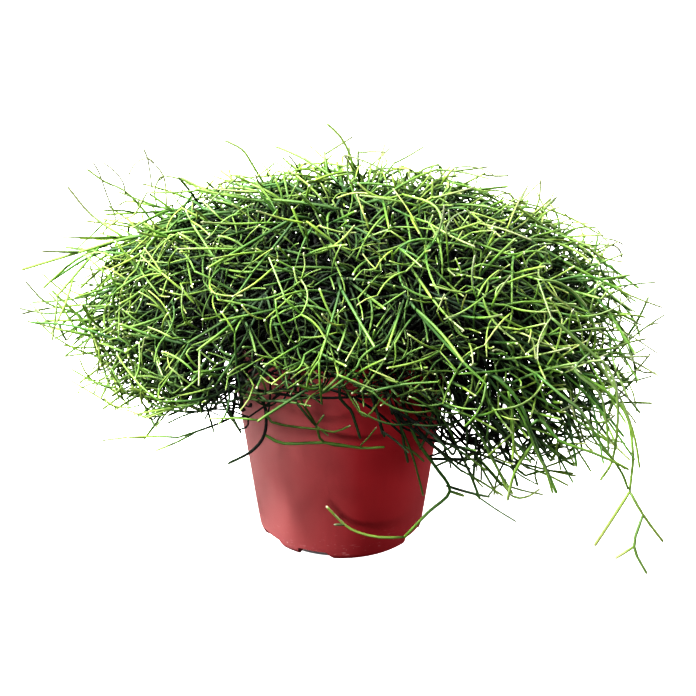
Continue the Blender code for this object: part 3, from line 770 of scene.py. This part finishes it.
def growLeaders(roots, draw):
    shoots = []
    for owner, (x, y) in enumerate(roots):
        outer = owner < cuttings["outer"]
        neck = neckOf((x, y))
        own = math.atan2(y, x)
        first = None
        plan = cuttings["outerLeaders"] if outer else cuttings["innerLeaders"]
        if outer and abs(math.remainder(own - math.radians(crown["trailAzimuth"]), math.tau)) < 0.5:
            plan += cuttings["trailingLeaders"]
        for level, swing in plan:
            for attempt in range(cuttings["tries"] * 3):
                azimuth = own + swing + draw.uniform(-0.25, 0.25) * (1 + attempt / cuttings["tries"])
                high = min(0.97, max(-0.97, level + draw.uniform(-0.14, 0.14)))
                out = np.array([math.cos(azimuth), math.sin(azimuth), 0.0])
                if first is None:
                    bend = draw.uniform(0.05, 0.4) * (1 + attempt / cuttings["tries"])
                    start, heading = neck, unit(up + out * bend)
                else:
                    share = draw.uniform(0.10, 0.34)
                    start, along = forkOf(first, share)
                    heading = unit(along + 0.9 * out + up * draw.uniform(-0.2, 0.5))
                route = leaderRoute(start, heading, azimuth, high, draw.uniform(0.72, 0.86), draw)
                made = shoot(route, 0, owner)
                if place(made):
                    shoots.append(made)
                    first = first or made
                    break
    return shoots


def sideRoute(start, heading, length, steps, draw, outward=(0.1, 0.5), lift=(-0.35, 0.28), bend=0.25):
    out = unit(np.array([start[0], start[1], 0.35 * (start[2] - crown["middle"]) + 1e-4]))
    pull = out * draw.uniform(*outward) + up * draw.uniform(*lift)
    curl = unit(np.array([draw.uniform(-1, 1) for _ in range(3)])) * bend
    points = [start]
    for _ in range(steps):
        heading = unit(heading + (pull + curl) / steps)
        points.append(points[-1] + heading * length / steps)
    return np.array(points)


def forkOf(parent, share):
    points = parent["points"]
    lengths = np.linalg.norm(np.diff(points, axis=0), axis=1)
    ends = np.cumsum(lengths)
    along = share * ends[-1]
    k = min(int(np.searchsorted(ends, along)), len(lengths) - 1)
    heading = (points[k + 1] - points[k]) / lengths[k]
    return points[k] + heading * (along - (ends[k] - lengths[k])), heading


def growSides(parents, plan, draw):
    shoots = []
    for parent in parents:
        for share in plan["shares"]:
            start, heading = forkOf(parent, share)
            if draw.random() > plan["kept"]:
                continue
            for attempt in range(cuttings["tries"]):
                lean = draw.uniform(*plan["lean"])
                roll = draw.uniform(0, math.tau)
                length = draw.uniform(*plan["length"]) * (1 - 0.35 * attempt / cuttings["tries"])
                away = turnedAway(heading, lean, roll)
                route = sideRoute(start, away, length, plan["steps"], draw)
                made = shoot(route, parent["rank"] + 1, parent["owner"])
                if crownShare(route[-1]) > plan["reach"]:
                    continue
                if crownShare(route[-1]) < crownShare(start) - plan["inward"]:
                    continue
                if place(made):
                    shoots.append(made)
                    break
    return shoots


def growMainShoots(roots):
    draw = random.Random(cuttings["seed"])
    stocks = growStocks(roots)
    drooping = growHanging(roots)
    rank = growLeaders(roots, draw)
    shoots = stocks + drooping + rank
    rank = rank + [made for made in drooping if made["rank"] == 0]
    for plan in sidePlans:
        rank = growSides(rank, plan, draw)
        shoots += rank
    for made in stocks:
        made["stock"] = True
    for made in drooping:
        if made["rank"] == 2:
            made["stout"] = twigs["hangingStout"]
            made["bare"] = True
        if made["rank"] == 2 or made is drooping[0]:
            made["lit"] = twigs["hangingLit"]
    for made in rank:
        if made["points"][-1][2] < twigs["lowEnd"]:
            made["lit"], made["stout"] = twigs["hangingLit"], twigs["sideStout"]
    print("main shoots", len(shoots))
    return shoots


# Fine shoots and twigs, which only the dressed plant has

twigs = {
    "seed": 5,
    "cell": 0.0021,  # a twig may not pass through a cell of this size that a main shoot or an earlier twig passes through, away from its fork
    "freeStart": 0.0045,
    "tries": 7,
    # one plan for each rank of parent: forks along it, whorl at its end, lean, length, reach
    "plans": (
        {"from": 0, "along": (0.28, 0.42, 0.60, 0.82), "kept": 0.75, "whorl": (1, 2), "lean": (24, 62),
         "length": (0.034, 0.060), "steps": 5, "inward": 0.25, "beyond": 0.0, "outward": (-0.05, 0.4), "bend": 0.95},
        {"from": 1, "along": (0.35, 0.66), "kept": 0.45, "whorl": (1, 3), "lean": (26, 70),
         "length": (0.022, 0.046), "steps": 4, "inward": 0.22, "beyond": 0.2, "outward": (-0.15, 0.35), "bend": 1.15},
        {"from": 2, "along": (0.5,), "kept": 0.3, "whorl": (1, 3), "lean": (26, 75),
         "length": (0.013, 0.036), "steps": 3, "inward": 0.2, "beyond": 0.45, "outward": (-0.2, 0.35), "bend": 1.2},
        {"from": 3, "along": (), "kept": 0.0, "whorl": (0, 2), "lean": (26, 75),
         "length": (0.007, 0.022), "steps": 2, "inward": 0.2, "beyond": 0.55, "outward": (-0.2, 0.3), "bend": 0.9},
    ),
    "innerStems": 12,  # for each cutting
    "innerLevel": (-0.75, 0.95),
    "innerReach": (0.35, 0.84),
    "innerStout": 0.85,
    "sideStout": 0.74,
    "hangingStout": 1.45,
    "hangingLit": 0.75,
    "lowEnd": 0.055,
    # more of them on some sides: count, azimuth of their cuttings, ranges of x, y and z where they end
    "sideStems": (
        (12, -32.0, (0.085, 0.150), (-0.088, -0.015), (0.050, 0.110)),
        (16, 0.0, (0.118, 0.154), (-0.060, 0.040), (0.108, 0.158)),
        (6, -32.0, (0.128, 0.150), (-0.088, -0.050), (0.056, 0.090)),
        (6, 180.0, (-0.156, -0.125), (-0.050, 0.030), (0.110, 0.150)),
    ),
    "trailThin": (0.1, 0.35, 0.6, 0.8),  # share of the twigs of each rank left out low on the trailing side
    "trailLean": 14.0,  # and how much wider the others fork there, in degrees
    "dense": 0.86,  # share of the crown that the twigs fill
    "denseLeft": -0.03,
    "denseRight": 0.08,
    "denseTrail": 0.30,
    "hem": {"left": 0.084, "front": 0.121, "right": 0.072, "back": 0.080, "trail": -0.026},  # lowest twigs
    "looseHem": 0.020,
    "stray": 0.20,  # how much further a few reach
    "lump": 0.06,  # unevenness of the crown
    "thinFrom": 0.72,  # share beyond which ever fewer twigs fork
    "thinOver": 0.34,
    "radius": (0.00093, 0.00071, 0.00059, 0.00051, 0.00046),
}


def lumpOf(point):
    turn = math.atan2(point[1], point[0])
    return (0.6 * math.sin(3 * turn + 1.2 + 18 * point[2]) + 0.4 * math.sin(7 * turn - 0.5 + 45 * point[2])
            + 0.3 * math.sin(60 * point[0] + 35 * point[1]))


def cellsOf(points, start):
    # cells that a shoot passes through beyond a stretch by its fork
    lengths = np.linalg.norm(np.diff(points, axis=0), axis=1)
    ends = np.concatenate([[0.0], np.cumsum(lengths)])
    step = twigs["cell"] * 0.5
    along = np.arange(start, ends[-1] + step, step)
    places = np.stack([np.interp(along, ends, points[:, axis]) for axis in range(3)], axis=1)
    return {tuple(cell) for cell in np.floor(places / twigs["cell"]).astype(int)}


def innerRoute(start, heading, end, draw):
    span = np.linalg.norm(end - start)
    out = unit(end - start + up * 0.01)
    bow = end - out * span * draw.uniform(0.25, 0.4) + up * span * draw.uniform(0.05, 0.35)
    bow = bow + unit(np.array([-out[1], out[0], 0.01])) * span * draw.uniform(-0.2, 0.2)
    return bezier(start, start + heading * span * draw.uniform(0.25, 0.45), bow, end, 5)


def growInnerStems(roots, mains, draw):
    # old stems that fill the crown between the main shoots
    shoots = []
    for owner, root in enumerate(roots):
        parents = [made for made in mains if made["owner"] == owner and made["rank"] == 0 and not made.get("stock")]
        own = math.atan2(root[1], root[0])
        for _ in range(twigs["innerStems"]):
            for attempt in range(twigs["tries"] * 2):
                azimuth = own + draw.uniform(-0.9, 0.9) * (1.0 if owner < cuttings["outer"] else 3.5)
                end = crownPoint(azimuth, draw.uniform(*twigs["innerLevel"]), draw.uniform(*twigs["innerReach"]))
                start, along = forkOf(draw.choice(parents), draw.uniform(0.04, 0.5))
                heading = unit(along + 0.6 * unit(end - start) + up * draw.uniform(0.0, 0.5))
                made = shoot(innerRoute(start, heading, end, draw), 0, owner)
                made["stout"] = twigs["innerStout"]
                if np.linalg.norm(end - start) > 0.025 and clearOfPot(made["points"], made["radius"]):
                    shoots.append(made)
                    break
    for count, azimuth, *spans in twigs["sideStems"]:
        off = [abs(math.remainder(math.atan2(y, x) - math.radians(azimuth), math.tau)) for x, y in roots[:cuttings["outer"]]]
        near = sorted(range(cuttings["outer"]), key=lambda owner: off[owner])
        for number in range(count):
            owner = near[number % 3]
            parents = [made for made in mains if made["owner"] == owner and made["rank"] == 0 and not made.get("stock")]
            end = np.array([draw.uniform(*span) for span in spans])
            start, along = forkOf(draw.choice(parents), draw.uniform(0.2, 0.6))
            made = shoot(innerRoute(start, unit(along + 0.6 * unit(end - start) + up * 0.3), end, draw), 0, owner)
            if clearOfPot(made["points"], made["radius"]):
                made["stout"] = twigs["sideStout"]
                shoots.append(made)
    print("inner stems", len(shoots))
    return shoots


def trailShare(azimuth):
    off = math.degrees(math.remainder(azimuth - math.radians(crown["trailAzimuth"]), math.tau))
    return math.exp(-((off / 24.0) ** 2))


def twigReach(point):
    turn = math.atan2(point[1], point[0])
    side = twigs["denseRight"] if point[0] > 0 else twigs["denseLeft"]
    trail = twigs["denseTrail"] * trailShare(turn) if point[2] < crown["middle"] else 0.0
    return twigs["dense"] + side * abs(math.cos(turn)) ** 2 + trail


def hemHeight(point):
    hem, turn = twigs["hem"], math.atan2(point[1], point[0])
    side = abs(math.cos(turn)) ** 1.6
    plain = hem["front"] if point[1] < 0 else hem["back"]
    flank = hem["right"] if point[0] > 0 else hem["left"]
    return plain + (flank - plain) * side + hem["trail"] * trailShare(turn)


# Loose shoots that only the dressed plant has, in millimetres: rank and route of each
looseShoots = (
    (1, ((-86, 14, 152), (-96, 20, 163), (-103, 20, 174), (-112, 20, 184), (-122, 20, 189), (-131, 20, 196))),
    (1, ((-112, -12, 118), (-128, -20, 124), (-136, -20, 133), (-147, -20, 145))),
    (2, ((-136, -20, 133), (-150, -20, 138), (-160, -20, 150))),
    (2, ((-136, -20, 133), (-150, -20, 132), (-164, -20, 135))),
    (1, ((-26, 30, 168), (-32, 30, 176), (-38, 30, 181), (-46, 30, 195), (-51, 30, 203), (-60, 30, 208))),
    (1, ((10, 30, 180), (7, 30, 191), (5, 30, 200), (0, 30, 210), (-7, 30, 217))),
    (1, ((52, -66, 122), (59, -70, 107), (67, -75, 96), (73, -78, 89), (77, -80, 77), (86, -82, 61))),
    (1, ((22, -84, 146), (15, -90, 144), (10, -92, 140), (7, -94, 135), (-6, -90, 122), (-20, -85, 115),
         (-41, -80, 112), (-49, -80, 116))),
    (2, ((0, -78, 122), (7, -80, 110), (13, -82, 104), (21, -85, 117))),
    (1, ((46, -60, 148), (47, -60, 160), (49, -50, 177), (50, -40, 191), (45, -30, 196), (31, -20, 197))),
    (2, ((-8, -67, 82), (-12, -70, 93), (-19, -73, 108), (-22, -74, 114))),
    (3, ((10, -65, 78), (13, -68, 84), (18, -70, 92))),
    (2, ((-34, -72, 96), (-20, -72, 93), (-10, -72, 92), (-3, -71, 90), (5, -72, 94))),
    (3, ((-10, -72, 92), (-6, -71, 88))),
    (3, ((-10, -72, 92), (-8, -72, 100))),
    (1, ((0, -76, 111), (5, -74, 104), (7, -73, 98), (10, -72, 87))),
    (1, ((26, -74, 104), (30, -72, 94), (32, -70, 82), (34, -69, 72))),
    (2, ((32, -70, 85), (38, -70, 77), (42, -70, 73))),
    (2, ((31, -72, 94), (36, -70, 77), (40, -68, 61), (42, -67, 52))),
    (2, ((50, -62, 66), (54, -64, 70), (61, -66, 72), (70, -68, 78))),
    (1, ((122, -78, 137), (130, -80, 130), (135, -83, 118), (136, -85, 98), (134, -86, 81), (129, -86, 71))),
    (1, ((125, -76, 132), (133, -80, 121), (140, -84, 108), (145, -86, 93), (148, -86, 78))),
    (1, ((114, -84, 130), (126, -86, 119), (130, -87, 105), (132, -88, 88))),
    (1, ((107, -88, 119), (118, -90, 110), (126, -90, 96), (138, -88, 78), (143, -86, 66))),
    (1, ((98, -90, 106), (107, -92, 96), (122, -92, 90), (134, -91, 84), (142, -90, 79))),
    (1, ((51, -82, 117), (60, -86, 107), (69, -88, 96), (74, -89, 86), (78, -89, 78), (83, -89, 67))),
    (1, ((78, -90, 120), (87, -92, 112), (93, -93, 98), (97, -93, 88), (101, -93, 80), (105, -92, 67))),
    (1, ((-52, -48, 124), (-58, -56, 112), (-56, -60, 98), (-50, -60, 84))),
    (1, ((10, -76, 124), (16, -78, 112), (20, -78, 98), (22, -76, 90))),
    (1, ((40, -70, 124), (46, -74, 108), (44, -72, 92), (40, -70, 80))),
    (2, ((46, -74, 108), (54, -76, 94), (58, -74, 84))),
    (1, ((-30, -74, 126), (-24, -78, 114), (-16, -78, 102), (-12, -76, 96))),
    (3, ((-77, 26, 185), (-83, 26, 188), (-92, 26, 190), (-95, 26, 187), (-97, 26, 181), (-96, 26, 173))),
    (4, ((-92, 26, 190), (-96, 26, 196), (-100, 26, 200), (-102, 26, 206))),
    (4, ((-100, 26, 200), (-107, 26, 196), (-110, 26, 190))),
    (4, ((-100, 26, 200), (-99, 26, 193), (-98, 26, 181))),
    (4, ((-92, 26, 190), (-91, 26, 182), (-91, 26, 171))),
    (4, ((-111, 16, 184), (-112, 16, 190), (-116, 16, 196), (-122, 16, 201))),
    (4, ((-117, 16, 171), (-118, 16, 175), (-121, 16, 184), (-124, 16, 195), (-127, 16, 201))),
    (3, ((-106, 6, 176), (-113, 6, 174), (-120, 6, 169), (-123, 6, 165))),
)


def growLoose(mains):
    # each starts from the nearest shoot, and belongs to its cutting
    shoots = []
    for rank, route in looseShoots:
        points = np.array(route) / 1000.0
        ahead = unit(points[1] - points[0])
        nearest, least, gap = None, 1.0, 0.0
        for made in mains + shoots:
            for point in made["points"]:
                back = points[0] - point
                far = np.linalg.norm(back)
                cost = far if far < 0.004 else 2.2 * far - np.dot(back, ahead)
                if 0 < far and cost < least:
                    nearest, least, gap = (made, point), cost, far
        if gap < 0.004:
            points[0] = nearest[1]
        else:
            points = np.vstack([nearest[1], points])
        shoots.append(shoot(points, rank, nearest[0]["owner"]))
        shoots[-1]["lit"] = 0.06 + 0.18 * rank
        shoots[-1]["bare"] = rank > 2
    print("loose shoots", len(shoots))
    return shoots


def growTwigs(roots, mains):
    draw = random.Random(twigs["seed"])
    taken = set()
    for made in mains:
        taken |= cellsOf(made["points"], 0.0)
    byRank = {}
    for made in mains:
        if not made.get("stock") and not made.get("bare"):
            byRank.setdefault(made["rank"], []).append(made)
    shoots = growInnerStems(roots, mains, draw)
    byRank[0] += shoots
    for plan in twigs["plans"]:
        rank = plan["from"] + 1
        grown = []
        for parent in byRank.get(plan["from"], []):
            ends = draw.randint(*plan["whorl"])
            places = [share for share in plan["along"] if draw.random() < plan["kept"]]
            firstRoll = draw.uniform(0, math.tau)
            spots = [(share, draw.uniform(0, math.tau)) for share in places]
            spots += [(0.995, firstRoll + math.tau * k / max(1, ends)) for k in range(ends)]
            for share, roll in spots:
                start, heading = forkOf(parent, share)
                startShare = crownShare(start)
                if draw.random() < (startShare - twigs["thinFrom"]) / twigs["thinOver"] or startShare < plan["beyond"]:
                    continue
                low = start[2] < 0.108 and start[0] > 0.045 and start[1] < 0.03
                if low and draw.random() < twigs["trailThin"][plan["from"]]:
                    continue
                reach = twigReach(start) + twigs["stray"] * draw.random() ** 4 + twigs["lump"] * lumpOf(start)
                hem = twigs["looseHem"] * draw.random() ** 3
                for attempt in range(twigs["tries"]):
                    lean = draw.uniform(*plan["lean"]) + (twigs["trailLean"] if low else 0.0)
                    away = turnedAway(heading, lean, roll + draw.uniform(-0.6, 0.6) * (1 + attempt))
                    length = draw.uniform(*plan["length"]) * (1 - 0.4 * attempt / twigs["tries"])
                    route = sideRoute(start, away, length, plan["steps"], draw, plan["outward"], (-0.35, 0.3), plan["bend"])
                    endShare = crownShare(route[-1])
                    if endShare > reach or endShare < startShare - plan["inward"]:
                        continue
                    if route[-1][2] < hemHeight(route[-1]) - hem:
                        continue
                    made = shoot(route, rank, parent["owner"])
                    if not clearOfPot(route, made["radius"]):
                        continue
                    cells = cellsOf(route, twigs["freeStart"])
                    if cells & taken:
                        continue
                    taken |= cells
                    grown.append(made)
                    break
        byRank.setdefault(rank, []).extend(grown)
        shoots += grown
        print("rank", rank, "twigs", len(grown))
    return shoots


def markFreeTips(shoots):
    starts = np.array([made["points"][0] for made in shoots])
    for made in shoots:
        made["free"] = bool((((starts - made["points"][-1]) ** 2).sum(1) > 0.003 ** 2).all())


# Meshes of the stems

stemLook = {
    "sides": (8, 7, 6, 5, 5),  # round the stem, for each rank
    "stepLength": 0.006,
    "columns": 16,  # of the strips in the map that the colours are laid out in
    "oldest": (0.014, 0.052, 0.018),
    "middle": (0.050, 0.140, 0.016),
    "young": (0.142, 0.236, 0.031),
    "youngest": (0.252, 0.304, 0.112),
    "tip": (0.540, 0.590, 0.370),
    "outline": (0.090, 0.094, 0.058),  # greyer twigs that stand clear of the crown
    "paleLength": 0.0011,
    "paleTips": 0.6,  # share of the free tips that are pale
    # younger green where the stems' light share is high: partly young growth at the crown's surface, partly painted
    # light
    "youthAndPaintedLight": 0.35,
    # painted shade of the stems: dark within this share of the crown, lit beyond that
    "darkWithin": 0.58,
    "lightBeyond": 0.90,
    "darkBelow": (0.15, 0.17),
    "darkRight": 0.05,  # painted shade: how much further out these lie under the crown's middle and on its right side
    "greyBeyond": (0.90, 0.15),  # from this share of the crown on, and over how much more
    "fallOff": 1.5,  # how fast the light fades inwards
    "frontShade": (0.105, 0.150, 0.50),  # the crown's lower front edge is in its own shade: from, to, least
    "deepShade": (0.008, 0.020, 0.010),
    "ages": ((0.0, 0.35), (0.22, 0.52), (0.36, 0.66), (0.48, 0.78), (0.58, 0.88)),
    "ageSpread": 0.13,
}


def smoothRoute(points, perStep):
    if len(points) < 3:
        return points[0] + (points[-1] - points[0]) * np.linspace(0, 1, perStep + 1)[:, None]
    p = np.vstack([2 * points[0] - points[1], points, 2 * points[-1] - points[-2]])
    t = np.linspace(0, 1, perStep, endpoint=False)[:, None]
    pieces = []
    for a, b, c, d in zip(p[:-3], p[1:-2], p[2:-1], p[3:]):
        pieces.append(0.5 * (2 * b + (c - a) * t + (2 * a - 5 * b + 4 * c - d) * t ** 2
                             + (3 * b - 3 * c + d - a) * t ** 3))
    return np.vstack(pieces + [points[-1:]])


def paintedLightShare(points, rank, lit):
    # painted light and shade of the stems: 0 in painted shade deep in the crown, 0.8 lit near its surface, 1 well clear
    # of it; painted shade also under the crown, on its right side and at its lower front
    x, y = points[:, 0] / crown["halfWidth"], points[:, 1] / crown["halfDepth"]
    rise = (points[:, 2] - crown["middle"]) / np.where(points[:, 2] > crown["middle"], crown["rise"], 0.10)
    reach = np.sqrt(x * x + y * y + rise * rise)
    under = np.clip((crown["middle"] - points[:, 2]) / 0.04, 0, 1) * np.clip((points[:, 0] + 0.10) / 0.04, 0, 1)
    away = stemLook["darkRight"] * np.clip(points[:, 0] / 0.05, 0, 1)
    within = stemLook["darkWithin"] + stemLook["darkBelow"][0] * under + away
    beyond = stemLook["lightBeyond"] + stemLook["darkBelow"][1] * under + away
    share = np.clip((reach - within) / (beyond - within), 0, 1)
    low, high, least = stemLook["frontShade"]
    front = np.clip(1.3 - np.abs(points[:, 0]) / 0.09, 0, 1) * (points[:, 1] < 0) * (points[:, 2] > 0.07)
    shade = np.clip((high - points[:, 2]) / (high - low), 0, 1) * front * (1 - least) * (1 - 0.22 * rank)
    clear = np.clip((reach - stemLook["greyBeyond"][0]) / stemLook["greyBeyond"][1], 0, 1)
    trailing = (points[:, 0] > 0) & (points[:, 2] < 0.1)
    share = np.maximum(share ** stemLook["fallOff"] * (1 - shade), lit)
    return 0.8 * share + 0.2 * clear * np.where(trailing, 0.3, 1.0) * min(1.0, rank / 2)


def stemTube(made, number, rows, draw):
    rank = min(made["rank"], 4)
    sides = stemLook["sides"][rank]
    longest = np.linalg.norm(np.diff(made["points"], axis=0), axis=1).max()
    route = smoothRoute(made["points"], max(2, int(round(longest / stemLook["stepLength"]))))
    lengths = np.concatenate([[0.0], np.cumsum(np.linalg.norm(np.diff(route, axis=0), axis=1))])
    if made["free"]:  # one more ring, where the pale tip begins
        lastStep = (route[-1] - route[-2]) / (lengths[-1] - lengths[-2])
        route = np.vstack([route[:-1], route[-1] - lastStep * stemLook["paleLength"], route[-1:]])
        lengths = np.concatenate([lengths[:-1], [lengths[-1] - stemLook["paleLength"], lengths[-1]]])
    share = lengths / lengths[-1]
    radius = twigs["radius"][rank] * draw.uniform(0.9, 1.12) * made.get("stout", 1.0)
    size = radius * (1.06 - 0.16 * share)
    size[0] *= 0.78  # pinched at the fork
    size[-1] *= 0.86
    heads = np.gradient(route, axis=0)
    heads /= np.linalg.norm(heads, axis=1)[:, None]
    across = unit(np.cross(heads[0], np.array([0.31, 0.52, 0.79])))
    turns = np.arange(sides) * math.tau / sides
    circle, rings = np.stack([np.cos(turns), np.sin(turns)], axis=1), []
    for middle, head, wide in zip(route, heads, size):
        across = unit(across - head * np.dot(across, head))
        other = np.cross(head, across)
        rings.append(middle + wide * (circle[:, :1] * across + circle[:, 1:] * other))
    apex = route[-1] + heads[-1] * radius * 0.75
    points = np.vstack(rings + [apex[None, :]])
    count = len(route)
    ring = np.arange(count - 1)[:, None] * sides
    k = np.arange(sides)[None, :]
    after = (k + 1) % sides
    quads = np.stack([ring + k, ring + after, ring + sides + after, ring + sides + k], axis=2).reshape(-1, 4)
    last = (count - 1) * sides
    fan = np.stack([last + k[0], last + after[0], np.full(sides, count * sides)], axis=1)
    old, new = stemLook["ages"][rank]
    # painted light and shade of the stem, kept in the third channel of growth
    outer = paintedLightShare(route, rank, made.get("lit", 0.0))
    age = old + (new - old) * share + draw.uniform(-1, 1) * stemLook["ageSpread"]
    # partly younger growth near the crown's surface, partly painted light: the age rises with the painted light share
    age += stemLook["youthAndPaintedLight"] * (np.minimum(outer / 0.8, 1) - 0.6)
    age = np.clip(age, 0, 1)
    pale = np.zeros(count)
    if made["free"]:
        pale[-1] = 0.75 if draw.random() < stemLook["paleTips"] else 0.2
    tint = draw.random()
    growth = np.ones((len(points), 4))
    growth[:, 0] = np.append(np.repeat(age, sides), age[-1])
    growth[:, 1] = np.append(np.repeat(pale, sides), pale[-1] * 1.3)
    growth[:, 2] = np.append(np.repeat(outer, sides), 1.0)
    growth[-1, 2] = growth[-2, 2]
    growth[:, 3] = tint
    column, row = number % stemLook["columns"], number // stemLook["columns"]
    along = np.append(share, 1.0) * 0.86 + 0.05
    corner = lambda k, ringShare: ((column + 0.06 + 0.88 * k / sides) / stemLook["columns"], (row + ringShare) / rows)
    quadMap = [corner(side + dx, along[r + dy]) for r in range(count - 1) for side in range(sides)
               for dx, dy in ((0, 0), (1, 0), (1, 1), (0, 1))]
    fanMap = [corner(side + dx, level) for side in range(sides) for dx, level in ((0, along[-2]), (1, along[-2]), (0.5, 0.97))]
    baseMap = [corner(side, 0.02 + 0.03 * (side % 2)) for side in range(sides)][::-1]
    return points, quads, fan, growth, quadMap, fanMap, baseMap, sides


def makeCutting(owner, shoots, surface):
    draw = random.Random(900 + owner)
    rows = math.ceil(len(shoots) / stemLook["columns"])
    allPoints, allGrowth, corners, starts, maps = [], [], [], [], []
    base, loops = 0, 0
    for number, made in enumerate(shoots):
        points, quads, fan, growth, quadMap, fanMap, baseMap, sides = stemTube(made, number, rows, draw)
        for block, width, uv in ((quads, 4, quadMap), (fan, 3, fanMap), (np.arange(sides)[::-1][None, :], sides, baseMap)):
            corners.append((block + base).reshape(-1))
            starts.append(loops + np.arange(len(block)) * width)
            loops += block.size
            maps.append(np.array(uv))
        allPoints.append(points)
        allGrowth.append(growth)
        base += len(points)
    points, corners, starts = np.vstack(allPoints), np.concatenate(corners), np.concatenate(starts)
    name = f"stems_{owner + 1:02d}"
    mesh = bpy.data.meshes.new(name)
    mesh.vertices.add(len(points))
    mesh.vertices.foreach_set("co", points.astype(np.float32).ravel())
    mesh.loops.add(len(corners))
    mesh.loops.foreach_set("vertex_index", corners.astype(np.int32))
    mesh.polygons.add(len(starts))
    mesh.polygons.foreach_set("loop_start", starts.astype(np.int32))
    colour = mesh.attributes.new("growth", "FLOAT_COLOR", "POINT")
    colour.data.foreach_set("color", np.vstack(allGrowth).astype(np.float32).ravel())
    strips = mesh.uv_layers.new(name="OFBake")
    strips.data.foreach_set("uv", np.vstack(maps).astype(np.float32).ravel())
    mesh.update(calc_edges=True)
    mesh.validate()
    mesh.shade_smooth()
    mesh.materials.append(surface)
    piece = bpy.data.objects.new(name, mesh)
    bpy.context.scene.collection.objects.link(piece)
    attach(piece, "root")
    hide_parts(f"cutting_{owner + 1:02d}")
    return sum(max(1, polygon.loop_total - 2) for polygon in mesh.polygons)


def greenStem():
    made, shader = newMaterial("greenStem", stemLook["middle"], 0.40)
    tree = made.node_tree
    growth = addNode(tree, "ShaderNodeAttribute", attribute_name="growth")
    split = addNode(tree, "ShaderNodeSeparateColor")
    tree.links.new(growth.outputs["Color"], split.inputs[0])
    place = addNode(tree, "ShaderNodeTexCoord").outputs["Object"]
    mottle = addNoise(tree, place, 95.0, 3.0)
    age = addMath(tree, "MULTIPLY_ADD", mottle, 0.30, split.outputs[0])
    age = addMath(tree, "SUBTRACT", age, 0.15)
    colour = addRamp(tree, age, ((0.0, stemLook["oldest"]), (0.34, stemLook["middle"]), (0.70, stemLook["young"]),
                                 (1.0, stemLook["youngest"])))
    warm = mixColour(tree, 1.0, colour, (1.16, 1.04, 0.90), "MULTIPLY")
    cool = mixColour(tree, 1.0, colour, (0.68, 0.82, 0.90), "MULTIPLY")
    colour = mixColour(tree, growth.outputs["Alpha"], cool, warm)
    colour = mixColour(tree, split.outputs[1], colour, stemLook["tip"])
    # painted shade: the colour is darkened by deepShade where the third channel of growth, the painted light share, is
    # low
    inner = mixColour(tree, 1.0, colour, stemLook["deepShade"], "MULTIPLY")
    colour = mixColour(tree, addMath(tree, "MULTIPLY", split.outputs[2], 1.25), inner, colour)
    clear = addNode(tree, "ShaderNodeMapRange", {"From Min": 0.8, "From Max": 1.0, "To Max": 0.85})
    tree.links.new(split.outputs[2], clear.inputs["Value"])
    colour = mixColour(tree, clear.outputs["Result"], colour, stemLook["outline"])
    tree.links.new(colour, shader.inputs["Base Color"])
    gloss = addMath(tree, "MULTIPLY_ADD", mottle, 0.14, addMath(tree, "MULTIPLY_ADD", split.outputs[2], -0.46, 0.84))
    tree.links.new(gloss, shader.inputs["Roughness"])
    addBump(tree, shader, addNoise(tree, place, 1900.0, 2.0), 0.25, 0.0001)
    return made


makeCamera()
makeStudio()
print("camera and studio set")
makePot()
roots = rootPlaces()
makeSoil(roots)
mainShoots = growMainShoots(roots)
mainShoots += growLoose(mainShoots)
shoots = mainShoots + growTwigs(roots, mainShoots)
markFreeTips(shoots)
surface = greenStem()
total = 0
for owner in range(len(roots)):
    faces = makeCutting(owner, [made for made in shoots if made["owner"] == owner], surface)
    total += faces
    print(f"stems_{owner + 1:02d}", faces, "triangles")
print("stems in all", len(shoots), "with", total, "triangles")
